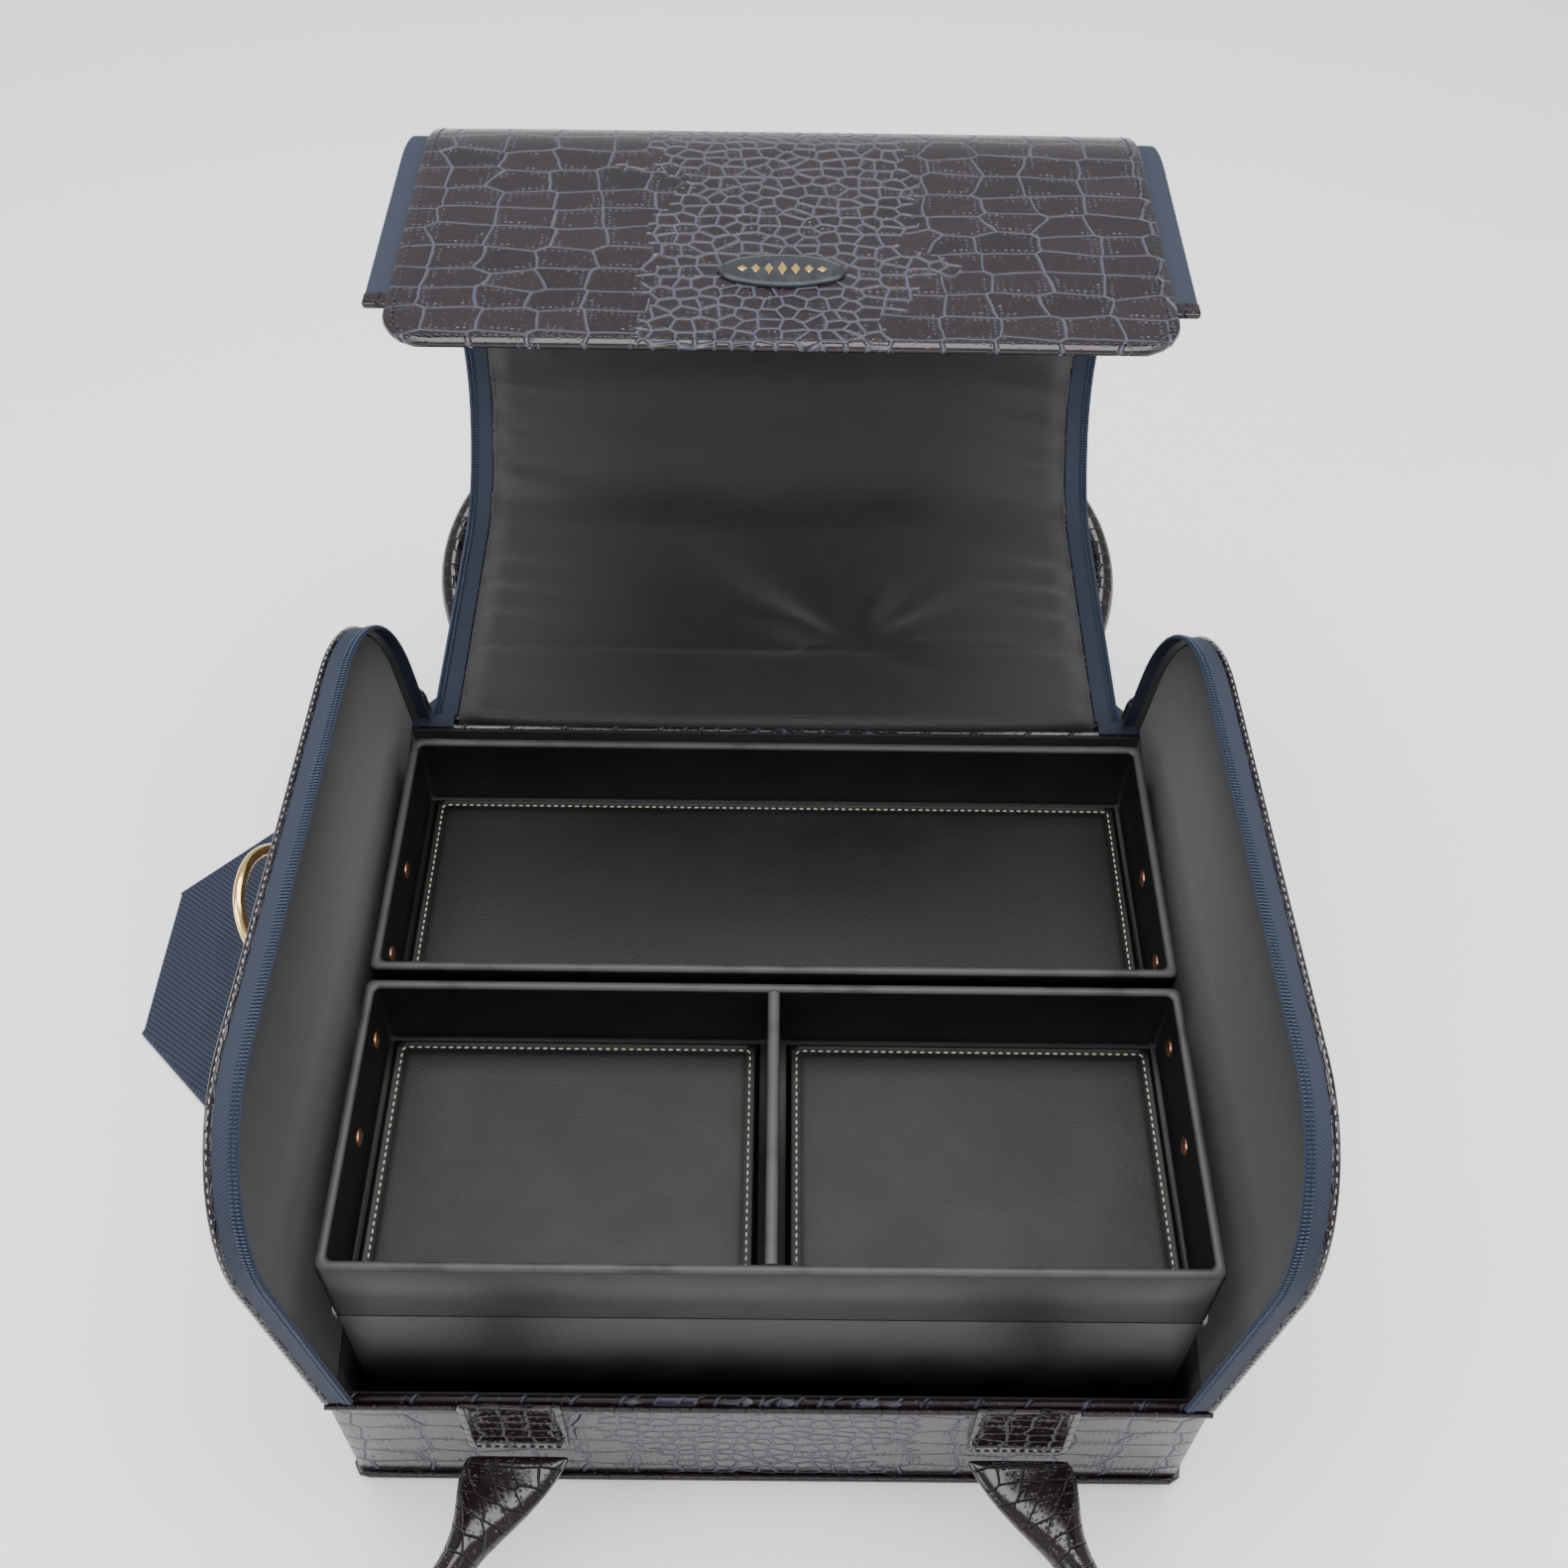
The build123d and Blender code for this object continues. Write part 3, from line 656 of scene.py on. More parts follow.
for number, (start, end) in enumerate(zip(cuts, cuts[1:])):
    last = number == 5
    bodies = lid_bodies[number:number + 2]
    bend = None
    if number == 0:
        bend = ((0, half_depth, back_height - 6 * MM), (0, hinge_y + 9 * MM, back_height))
    elif not last:
        bend = [lid_station(fold_marks[number] + way * bend_reach)[0] for way in (-1, 1)]
    places = lid_line.steps(start, end, 4 * MM)
    if last:
        places = places[:-1] + [lid_end - 1.2 * MM, lid_end - 0.5 * MM, lid_end]
    stations = [lid_station(along) for along in places]

    shapes = [skin_section(along, last) for along in places]
    nodes = lid_nodes.get(number, [f"lid_panel_{number + 1}"])
    skin = sweep(stations, shapes, own_x, last, places)
    lid_piece("skin", number, skin, croc_skin, "croc_skin", bodies, nodes)

    fine = lid_line.steps(max(start, 6 * MM), min(end, lid_end - 5 * MM), 2.5 * MM)
    lining = sweep([lid_station(a) for a in fine], [lining_section(a) for a in fine], own_x, True, fine)
    lining = lid_piece("lining", number, lining, lid_satin, "lining", bodies, ())
    max(end - start, 12 * MM)

    tape_from, tape_to = max(start, zip_start), min(end, zip_end)
    tape_places = lid_line.steps(tape_from, tape_to, 4 * MM)
    tape_stations = [lid_station(a) for a in tape_places]
    edges = [[(side * x, depth) for x, depth in (
        (lid_half - 2 * MM, 0.2 * MM), (tape_edge, 0.1 * MM), (tape_edge + 0.3 * MM, 0.55 * MM),
        (tape_edge, 1 * MM), (lid_half - 2 * MM, 1.1 * MM))] for side in (-1, 1)]
    tapes = joined([sweep(tape_stations, e, own_x, True, tape_places) for e in edges])
    lid_piece("tape", number, tapes, zip_tape, "zip", bodies, [f"lid_zip_{min(number + 1, 5)}"])

    teeth = bmesh.new()
    for along in lid_line.steps(tape_from + coil_pitch / 2, tape_to - coil_pitch / 2, coil_pitch):
        origin, across, out = lid_station(along)
        for side in (-1, 1):
            for inward, lift in ((0.0, -0.35 * MM), (1.9 * MM, -0.15 * MM)):
                spot = origin + across * side * (zip_row_reach - inward) + out * lift
                bead_at(teeth, spot, across, out, tooth)
    lid_piece("teeth", number, teeth, zip_teeth, "zip", bodies, ())

    tacks = bmesh.new()
    for along in lid_line.steps(tape_from + 2 * MM, tape_to - 2 * MM, stitch_pitch):
        origin, across, out = lid_station(along)
        for side in (-1, 1):
            for depth, way in ((-0.2 * MM, -1), (lid_thickness + 0.15 * MM, 1)):
                spot = origin + across * side * (lid_half - 4.2 * MM) + out * depth
                bead_at(tacks, spot, out.cross(across), out * way, (1.3 * MM, 0.34 * MM, 0.3 * MM))
    lid_piece("stitches", number, tacks, dark_thread, "zip", bodies, ())

gussets = []
for side in (-1, 1):
    spread = [(lid_half - 1 * MM, -3 * MM), (half_width - 1.5 * MM, -3 * MM), (half_width - 3 * MM, 3 * MM),
              (tape_edge - 1 * MM, 17 * MM), (lid_half - 1 * MM, 17 * MM)]
    spread = [(side * x, half_depth + behind) for x, behind in spread][::side]
    gussets.append(stood(slab(spread, -1.3 * MM, -0.2 * MM, 0.4 * MM), facing(Z * back_height, X, Y)))
gusset = made("zip_gussets", joined(gussets), zip_tape, None, "zip")
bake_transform(gusset)

tongue_out = flap_high.z + 0.5 * MM
tongue_edge = [Vector((lid_half_at(a) * side - 4 * MM * side, lid_line.at(a)[0].x, tongue_out))
               for side, rising in ((-1, 1), (1, -1))
               for a in lid_line.steps(zip_end, lid_end - 4 * MM, 2 * MM)[::rising]]
stitches("tongue_stitches", [(tongue_edge, Z)], dark_thread, "lid_5")

zip_caps = []
cap_half, cap_reach = 5.5 * MM, 7 * MM
for side in (-1, 1):
    middle = side * (tape_edge - 5 * MM)
    outline = rectangle(middle - cap_half, flap_end - 1 * MM, middle + cap_half, flap_end + cap_reach, 1.5 * MM)
    cap = slab(outline, -0.6 * MM, 1.6 * MM, 0.5 * MM)
    zip_caps.append(stood(cap, facing(Vector((0, 0, flap_low.z)), X, Y)))
made("lid_zip_caps", joined(zip_caps), croc_handle, "lid_5", "croc_handle")


# ---- Badge: dark enamel oval with a dark rim and a plain row of gold lozenges ----
badge_low, badge_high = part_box("badge")
badge_centre = (badge_low + badge_high) / 2
badge_half = (badge_high - badge_low) / 2


def oval(share, level=0.0, count=64):
    """The badge's outline at a share of its size."""
    return [Vector((badge_half.x * share * math.cos(t), badge_half.y * share * math.sin(t), level))
            for t in (2 * math.pi * n / count for n in range(count))]


badge_place = facing(Vector((badge_centre.x, badge_centre.y, badge_low.z)), X, Y)
enamel = stood(slab(oval(0.94), 0.2 * MM, 1.8 * MM, 0.3 * MM, 0.25 * MM, 1.5 * MM), badge_place)
made("badge_enamel", enamel, badge_enamel, "lid_5", "badge", ["badge"])
rim = sweep(loop_stations(oval(0.96, 1.1 * MM)), cord_round(0.9 * MM, 12, 1.15 / 0.9), caps=False)
bmesh.ops.remove_doubles(rim, verts=rim.verts, dist=1e-6)
made("badge_rim", stood(rim, badge_place), badge_enamel, "lid_5", "badge")
gold_parts = []
for step in range(-3, 4):
    tall = (4.6 - 0.9 * abs(step)) * MM
    lozenge = [(step * 5.2 * MM + dx * 1.9 * MM, dy * tall) for dx, dy in ((-1, 0), (0, -1), (1, 0), (0, 1))]
    gold_parts.append(slab(lozenge, 1.6 * MM, 2.5 * MM, 0.25 * MM))
made("badge_motif", stood(joined(gold_parts), badge_place), gold, "lid_5", "gold")


# ---- Case shell: panels, piping and base ----
front_place = facing(Vector((0, -half_depth + wall, 0)), X, Z)
back_place = facing(Vector((0, half_depth - wall, 0)), -X, Z)
low_z = board_high.z
front_outline = rectangle(-half_width, low_z, half_width, front_height, 2 * MM)
front_slab = slab(front_outline, 0.5 * MM, wall, 1.5 * MM, 0.7 * MM, 8 * MM)
made("front_skin", stood(front_slab, front_place), croc_skin, "case", "croc_skin", ["front_panel"])
back_slab = slab(rectangle(-half_width, low_z, half_width, back_high.z, 2 * MM), 0.5 * MM, wall, 1.5 * MM)
made("back_skin", stood(back_slab, back_place), croc_skin, "case", "croc_skin", ["back_panel"])
inner_half = half_width - wall
for name, place, top in (("front_wall_lining", front_place, front_height - 1 * MM),
                         ("back_wall_lining", back_place, back_high.z - 1 * MM)):
    outline = rectangle(-inner_half, low_z, inner_half, top)
    wall_cloth = stood(slab(outline, -0.2 * MM, 0.9 * MM, 0.2 * MM), place)
    wall_cloth = made(name, wall_cloth, side_cloth, "case", "lining")

board_place = facing(Vector(), X, Y)
base_slab = slab(rectangle(-half_width, -half_depth, half_width, half_depth, 3 * MM), 0, low_z, 1 * MM)
made("base_skin", stood(base_slab, board_place), croc_side, "case", "board", ["base_board"])
floor_low, floor_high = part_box("base_lining")
floor_outline = rectangle(floor_low.x, floor_low.y, floor_high.x, floor_high.y, 2 * MM)
floor_cloth = stood(slab(floor_outline, floor_low.z, floor_high.z, 0.3 * MM), board_place)
floor_cloth = made("floor_lining", floor_cloth, side_cloth, "case", "lining", ["base_lining"])


def piping(name, points, out, radius, body, stands_for=(), closed=False):
    """A bead of skin rolled over a cord along a seam."""
    line = Path(points + points[:1] if closed else points)
    stations = []
    for along in line.steps(0, line.length, 4 * MM):
        point, heading = line.at(along)
        stations.append((point, heading.cross(out).normalized(), out))
    return made(name, sweep(stations, cord_round(radius)), croc_handle, body, "croc_skin", stands_for)


bead_x, bead_reach = half_width + 1 * MM, half_depth + 1 * MM
base_run = [Vector((p[0], p[1], 4 * MM)) for p in rectangle(-bead_x, -bead_reach, bead_x, bead_reach, 4 * MM)]
piping("base_bead", base_run, Z, 1.9 * MM, "case", ["base_piping"], closed=True)

tabs_low, tabs_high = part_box("front_handle_tabs")
tab_half, tab_seam = 20.5 * MM, 3 * MM
tab_centre = tabs_high.x - tab_half
bead_low, bead_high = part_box("front_piping")
bead_y, bead_z = bead_high.y - 1.5 * MM, (bead_low.z + bead_high.z) / 2
near_tab, far_tab = tab_centre - tab_half - seat, tab_centre + tab_half + seat
spans = [(-half_width, -far_tab), (-near_tab, near_tab), (far_tab, half_width)]
beads = []
for start, end in spans:
    line = [Vector((start + (end - start) * n / 20, bead_y, bead_z)) for n in range(21)]
    beads.append(sweep([(p, Y, Z) for p in line], cord_round(1.45 * MM)))
made("front_bead", joined(beads), croc_handle, "case", "croc_skin", ["front_piping"])
stitch_y = -half_depth - 0.9 * MM
stitches("front_stitches", [([Vector((a + 2 * MM, stitch_y, bead_z - 4 * MM)),
                              Vector((b - 2 * MM, stitch_y, bead_z - 4 * MM))], -Y) for a, b in spans],
         worn_thread, "case", pitch=4.4 * MM)


# ---- Sides: lower walls, then upper panels that lean out about the slanted fold ----
def side_stand(side, leaning=True):
    """Place of a side's flat drawing: x runs with side times y, y is the closed height, z points out."""
    flat = facing(Vector((side * half_width, 0, 0)), Y * side, Z)
    if not leaning:
        return flat
    pivot = Vector((side * half_width, -half_depth, front_height))
    fold = Vector((0, 2 * half_depth, back_height - front_height)).normalized()
    lean = Matrix.Rotation(side * splay, 4, fold)
    return Matrix.Translation(pivot) @ lean @ Matrix.Translation(-pivot) @ flat


def side_run(grow=0.0):
    """Open run round an upper side's edge, from the front fold over the top to the rear fold."""
    return rounded(
        [(-half_depth - grow, front_height + seat), (-half_depth - grow, side_height + grow),
         (half_depth + grow, side_height + grow), (half_depth + grow, back_height + seat)],
        [0, corner_radius + grow, corner_radius + grow, 0], steps=14)


def turned(points, side):
    """A run drawn as (y, z), turned to the side's own drawing."""
    return [Vector((side * p[0], p[1])) for p in points][::side]


def rim_station(edge, along, leaning, side):
    """A place on a side's edge: its point, the ways off the edge and out of the panel, and the heading."""
    point, heading = edge.at(along)
    turn = leaning.to_3x3()
    off = turn @ Vector((-side * heading.y, heading.x, 0))
    return (leaning @ Vector((side * point.x, point.y, 0)), off.normalized(), (turn @ Z).normalized(),
            (turn @ Vector((side * heading.x, heading.y, 0))).normalized())


for side, hand in ((-1, "left"), (1, "right")):
    body = f"side_{hand}"
    leaning = side_stand(side)
    upright = side_stand(side, False)
    lower = [(-half_depth + wall, low_z), (half_depth - wall, low_z), (half_depth - wall, back_high.z),
             (-half_depth + wall, front_height + 1 * MM)]
    lower_skin = slab(turned(lower, side), -wall + 0.5 * MM, 0, 1 * MM, 0.4 * MM, 8 * MM)
    made(f"lower_side_skin_{hand}", stood(lower_skin, upright), croc_side, "case", "croc_skin",
         [f"side_lower_{hand}"])
    lined = lower[:2] + [(y, z - 2 * MM) for y, z in lower[2:]]
    lower_cloth = slab(turned(lined, side), -wall - 0.2 * MM, -wall + lining_thickness, 0.2 * MM)
    lower_cloth = made(f"lower_side_lining_{hand}", stood(lower_cloth, upright), side_cloth, "case", "lining")
    tall = (front_height + back_high.z) / 2 - low_z
    2 * (half_depth - wall) * tall

    panel = slab(turned(side_run(), side), -3 * MM, 0, 1.2 * MM, 0.6 * MM, 7 * MM)
    made(f"side_skin_{hand}", stood(panel, leaning), croc_side, body, "croc_skin", [f"side_panel_{hand}"])
    lining = slab(turned(side_run(-1.6 * MM), side), -wall - 0.3 * MM, -3 * MM, 0.3 * MM)
    lining_piece = made(f"side_cloth_{hand}", stood(lining, leaning), side_cloth, body, "lining",
                        [f"side_lining_{hand}"])

    bead_end = half_depth - 1 * MM
    fold_line = [leaning @ Vector((side * y, z + 0.6 * MM, -1.5 * MM)) for y, z in
                 ((-bead_end, front_height), (bead_end, back_height))]
    out = (leaning.to_3x3() @ Z).normalized()
    piping(f"side_fold_{hand}", fold_line, out, 1.5 * MM, "case")

    edge = Path([Vector(p) for p in side_run(0.4 * MM)])
    marks = edge.steps(0.5 * MM, edge.length - 0.5 * MM, 3 * MM)
    rim = [rim_station(edge, a, leaning, side)[:3] for a in marks]
    tape_section = [(0.0, -2 * MM), (0.0, -side_tape), (0.45 * MM, -side_tape - 0.3 * MM),
                    (0.95 * MM, -side_tape), (1.05 * MM, -side_tape / 2), (1.0 * MM, -2 * MM)]
    tape = sweep(rim, tape_section, lambda off, inward: inward, True, marks)
    made(f"side_tape_{hand}", tape, zip_tape, body, "zip", [f"side_zip_{hand}"])
    inner_strip = [(-0.1 * MM, -side_tape + 5.2 * MM), (-0.2 * MM, -wall), (-1.2 * MM, -wall),
                   (-1 * MM, -wall - 1 * MM)]
    welt = [(0.5 * MM + a, -1.2 * MM + b) for a, b in cord_round(1.15 * MM, 12, 1.7 / 1.15)]
    made(f"side_welt_{hand}", sweep(rim, welt, None, True, marks), croc_handle, body, "croc_skin")
    made(f"side_facing_{hand}", sweep(rim, inner_strip, None, True, marks), side_cloth, body, "lining")

    teeth, tacks = bmesh.new(), bmesh.new()
    for along in edge.steps(1 * MM, edge.length - 1 * MM, coil_pitch):
        point, off, out, heading = rim_station(edge, along, leaning, side)
        for inward, lift in ((side_tape - 1.1 * MM, 1.35 * MM), (side_tape - 3.0 * MM, 1.15 * MM)):
            bead_at(teeth, point + off * lift - out * inward, out, off, tooth)
    for along in edge.steps(3 * MM, edge.length - 3 * MM, stitch_pitch):
        point, off, out, heading = rim_station(edge, along, leaning, side)
        spot = point + off * 1.75 * MM - out * 1.3 * MM
        bead_at(tacks, spot, heading, off, (1.1 * MM, 0.30 * MM, 0.25 * MM))
    made(f"side_teeth_{hand}", teeth, zip_teeth, body, "zip")
    made(f"side_stitches_{hand}", tacks, worn_thread, body, "zip")

    # ring tab: a stitched patch whose top rolls over the ring's bar
    patch = rectangle(-patch_half, bar_v - patch_drop, patch_half, bar_v + 1 * MM, 2 * MM)
    flat_patch = stood(slab(patch, 0.4 * MM, 2.3 * MM, 0.5 * MM, 0.3 * MM, 3 * MM), leaning)
    turn = leaning.to_3x3()
    around = []
    for n in range(17):
        angle = math.radians(-120 + 300 * n / 16)
        spot = Vector((0, bar_v + bar_wrap * math.sin(angle), bar_out + bar_wrap * math.cos(angle)))
        radial = (turn @ Vector((0, math.sin(angle), math.cos(angle)))).normalized()
        around.append((leaning @ spot, (turn @ X).normalized(), radial))
    roll = sweep(around, band(20.6 * MM, -0.75 * MM, 0.8 * MM, 10, 0, 0.6 * MM), None, True)
    made(f"ring_patch_{hand}", joined([flat_patch, roll]), croc_handle, body, "croc_handle",
         [f"ring_tab_{hand}"])
    seam = patch_half - 2.6 * MM
    inset_patch = rectangle(-seam, bar_v - patch_drop + 2.6 * MM, seam, bar_v - 6 * MM, 1.5 * MM)
    patch_seam = ring_of(inset_patch, 2.75 * MM, leaning)
    stitches(f"ring_patch_stitches_{hand}", [(patch_seam, out)], dark_thread, body)

    # zip slider: two plates round the teeth with a bridge, and a pull with a slot
    slide_low, slide_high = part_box(f"zip_slider_{hand}")
    slide_centre = (slide_low + slide_high) / 2
    upward = (turn @ Y).normalized()
    slide_place = facing(slide_centre, out if out.cross(upward).y >= 0 else -out, upward)
    right_half = [(1.9 * MM, -4.9 * MM), (2.9 * MM, 2.5 * MM), (0.9 * MM, 4.9 * MM)]
    left_half = [(-x, y) for x, y in right_half]
    teardrop = rounded(left_half[:1] + right_half + left_half[:0:-1], [0.8 * MM] * 6, closed=True, steps=3)
    bridge = [(x * 0.7 * MM, y * 3.4 * MM) for x, y in ((-1, -1), (1, -1), (1, 1), (-1, 1))]
    slider = joined([slab(teardrop, -1.95 * MM, -0.85 * MM, 0.3 * MM),
                     slab(teardrop, 0.65 * MM, 1.55 * MM, 0.3 * MM),
                     slab(bridge, -0.9 * MM, 0.7 * MM, 0.2 * MM)])
    made(f"zip_body_{hand}", stood(slider, slide_place), zip_metal, f"zip_slider_{hand}", "zip_metal",
         [f"zip_slider_{hand}"])
    pull_low, pull_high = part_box(f"zip_pull_{hand}")
    pull_place = slide_place.copy()
    pull_place.translation = (pull_low + pull_high) / 2
    outer = rectangle(-2.5 * MM, -11 * MM, 2.5 * MM, 11 * MM, 2.2 * MM)
    slot_line = rectangle(-1.3 * MM, -9.5 * MM, 1.3 * MM, 3 * MM, 1.2 * MM)
    pull = slab(outer, -0.5 * MM, 0.5 * MM, 0.25 * MM)
    ridge = loop_stations([Vector((p[0], p[1], 0.5 * MM)) for p in slot_line])
    pull = joined([pull, sweep(ridge, cord_round(0.35 * MM, 8), caps=False)])
    made(f"zip_puller_{hand}", stood(pull, pull_place), zip_metal, f"zip_pull_{hand}", "zip_metal",
         [f"zip_pull_{hand}"])


# ---- Trays, divider and stitched pads ----
def tray_shell(low, high, floor=3 * MM, corner=3 * MM):
    """An open tray: outer and inner walls with a rounded rim."""
    bm = blank()
    rim = 1.5 * MM
    levels = [(0.6 * MM, low.z, corner), (0.0, low.z + 0.6 * MM, corner), (0.0, high.z - rim, corner)]
    for n in range(1, 6):
        angle = math.pi * n / 6
        over, up = wall / 2 * math.cos(angle), rim * math.sin(angle)
        levels.append((wall / 2 - over, high.z - rim + up, corner))
    foot, inner_corner = 0.8 * MM, corner * 0.7
    levels += [(wall, high.z - rim, inner_corner), (wall, low.z + floor + foot, inner_corner),
               (wall + foot, low.z + floor, inner_corner)]
    rings = []
    for inset, z, radius in levels:
        outline = rectangle(low.x + inset, low.y + inset, high.x - inset, high.y - inset, radius)
        rings.append([bm.verts.new((p.x, p.y, z)) for p in outline])
    walled(bm, rings)
    return unrolled(bm, lambda vert: (vert.co.x, vert.co.y + vert.co.z))


def pad(name, node, body):
    """A stuffed floor pad, dimpled along its seam, with its stitches in the dimple."""
    low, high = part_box(node)
    width, depth, tall = high.x - low.x, high.y - low.y, high.z - low.z
    centre = (low + high) / 2
    bm = bmesh.new()
    bmesh.ops.create_grid(bm, x_segments=round(width / (2 * MM)), y_segments=round(depth / (2 * MM)), size=0.5)
    for vert in bm.verts:
        u, v = vert.co.x * width, vert.co.y * depth
        edge = min(width / 2 - abs(u), depth / 2 - abs(v))
        round_off = math.sqrt(max(0.0, 1 - (1 - min(edge / (2 * MM), 1.0)) ** 2))
        seam = math.exp(-((edge - 4 * MM) / (1.5 * MM)) ** 2)
        swell = math.sin(u * 41 + 1) * math.sin(v * 47 + 2) * 0.22 * MM * min(edge / (15 * MM), 1.0)
        height = tall * 0.35 + tall * 0.6 * round_off - 0.9 * MM * seam + swell
        vert.co = Vector((centre.x + u, centre.y + v, low.z + height))
    border = [e for e in bm.edges if e.is_boundary]
    lower = bmesh.ops.extrude_edge_only(bm, edges=border)
    for vert in (g for g in lower["geom"] if isinstance(g, bmesh.types.BMVert)):
        vert.co.z = low.z
    bmesh.ops.holes_fill(bm, edges=[e for e in bm.edges if e.is_boundary], sides=0)
    piece = made(name, outward(bm), pad_sheet, body, "pad", [node], 60)
    inset = 4 * MM
    line = rectangle(low.x + inset, low.y + inset, high.x - inset, high.y - inset, 2 * MM)
    ring = [Vector((p.x, p.y, low.z + tall * 0.95 - 0.75 * MM)) for p in line]
    stitches(f"{name}_stitches", [(ring + ring[:1], Z)], cream_thread, body,
             (1.15 * MM, 0.36 * MM, 0.36 * MM), 3.2 * MM)


for end, low, high in (("front", tray_low, tray_high), ("rear", rear_low, rear_high)):
    made(f"{end}_tray_skin", tray_shell(low, high), tray_sheet, f"{end}_tray", "leatherette",
         [f"{end}_tray"], 60)
div_low, div_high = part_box("tray_divider")
div_centre = (div_low + div_high) / 2
div_half = (div_high.x - div_low.x) / 2
div_round = 1.6 * MM
div_shoulder = div_high.z - div_low.z - div_round
div_section = [(-div_half, 0), (div_half, 0), (div_half, div_shoulder)]
div_section += [(div_half * math.cos(a), div_shoulder + div_round * math.sin(a))
                for a in (math.pi * n / 8 for n in range(1, 8))]
div_section.append((-div_half, div_shoulder))
div_run = div_high.y - div_low.y
div_stations = [(Vector((div_centre.x, div_low.y + div_run * n / 12, div_low.z)), X, Z) for n in range(13)]
made("divider_skin", sweep(div_stations, div_section), tray_sheet, "front_tray", "leatherette",
     ["tray_divider"], 60)
for name, node, body in (("left_pad", "front_pad_left", "front_tray"),
                         ("right_pad", "front_pad_right", "front_tray"),
                         ("back_pad", "rear_pad", "rear_tray"), ("floor_pad", "box_pad", "box")):
    pad(name, node, body)


def rivet(centre_y, centre_z, stations, side):
    """A shouldered rivet turned about X: stations are (distance out, radius) from its inner dome."""
    bm = bmesh.new()
    profile = [bm.verts.new((side * out, 0, radius)) for out, radius in stations]
    edges = [bm.edges.new(pair) for pair in zip(profile, profile[1:])]
    bmesh.ops.spin(bm, geom=profile + edges, cent=(0, 0, 0), axis=(1, 0, 0), angle=2 * math.pi, steps=20,
                   use_duplicate=False)
    bmesh.ops.remove_doubles(bm, verts=bm.verts, dist=1e-6)
    bmesh.ops.translate(bm, vec=(0, centre_y, centre_z), verts=bm.verts)
    return outward(bm)


arm_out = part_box("front_outer_arms")[1].x
arm_length, arm_lean = 61 * MM, math.radians(60)
rivet_inset, arm_spacing, rivet_drop = 18 * MM, 43.5 * MM, 17 * MM
arm_run, arm_rise = arm_length * math.sin(arm_lean), arm_length * math.cos(arm_lean)
middle_y = (tray_high.y + rear_low.y) / 2
tray_gap_half = (rear_low.y - tray_high.y) / 2
box_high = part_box("box_shell")[1]


def rivet_line(inner, outer):
    """Inner dome, shank through the wall and arm, and outer dome."""
    turns = [math.pi / 10 * n for n in range(6)]
    dome = [(rivet_dome * math.sin(a), rivet_head * math.cos(a)) for a in turns]
    seated = outer + 0.2 * MM
    line = [(inner - rise, radius) for rise, radius in reversed(dome)]
    line += [(inner, rivet_shank), (outer - 0.1 * MM, rivet_shank), (seated, rivet_shank),
             (seated, rivet_head)]
    return line + [(seated + rise, radius) for rise, radius in dome]


box_rivets = []
for way, end in ((-1, "front"), (1, "rear")):
    tray_rivets = []
    for step in (0, arm_spacing):
        pivot = middle_y + way * (tray_gap_half + rivet_inset + step)
        for side in (-1, 1):
            tray_line, box_line = (rivet_line(face - wall, arm_out) for face in (tray_high.x, box_high.x))
            tray_rivets.append(rivet(pivot, tray_high.z - rivet_drop, tray_line, side))
            foot = tray_high.z - rivet_drop - arm_rise
            box_rivets.append(rivet(pivot + way * arm_run, foot, box_line, side))
    made(f"{end}_copper_rivets", joined(tray_rivets), copper, f"{end}_tray", "rivet", [f"{end}_tray_rivets"])
made("box_copper_rivets", joined(box_rivets), copper, "box", "rivet", ["box_rivets"])


# ---- Carrying handles: a rolled loop with flat flared ends, and their sewn tabs ----
shoulder_x, shoulder_reach, grip_x, grip_reach = 196 * MM, 180 * MM, 120 * MM, 270 * MM
handle_run = Path(rounded(
    [(-tab_centre, 0), (-shoulder_x, shoulder_reach), (-grip_x, grip_reach), (grip_x, grip_reach),
     (shoulder_x, shoulder_reach), (tab_centre, 0)],
    [0, 90 * MM, 110 * MM, 110 * MM, 90 * MM, 0], steps=16))
handle_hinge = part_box("front_handle_tabs")[0]
hinge_out = -handle_hinge.y + seat + handle_root


def handle_station(along, way, lift):
    """Centre, in-plane side, plane normal and flatness of a handle at a length along it."""
    point, heading = handle_run.at(along)
    reach = Vector((0, way * math.cos(lift), math.sin(lift)))
    normal = X.cross(reach) * (1 if way < 0 else -1)
    from_end = min(along, handle_run.length - along)
    flat = 1 - min(1.0, from_end / handle_flare)
    flat = flat * flat * (3 - 2 * flat)
    turned = min(1.0, from_end / (34 * MM))
    level = Vector((1 if heading.y > 0 else -1, 0))
    across_flat = Vector((heading.y, -heading.x)).lerp(level, 1 - turned).normalized()
    centre = Vector((0, way * hinge_out, handle_hinge.z)) + X * point.x + reach * point.y
    return centre, X * across_flat.x + reach * across_flat.y, normal, flat


def handle_section(flat, count=28):
    """Round when flat is 0 and a soft flat strap when it is 1."""
    wide = handle_radius + (tab_half - handle_radius) * flat
    thick = handle_radius + (handle_root - handle_radius) * flat
    power = 1 - 0.55 * flat
    return [(wide * math.copysign(abs(cos) ** power, cos), thick * math.copysign(abs(sin) ** power, sin))
            for cos, sin in cord_round(1.0, count)]


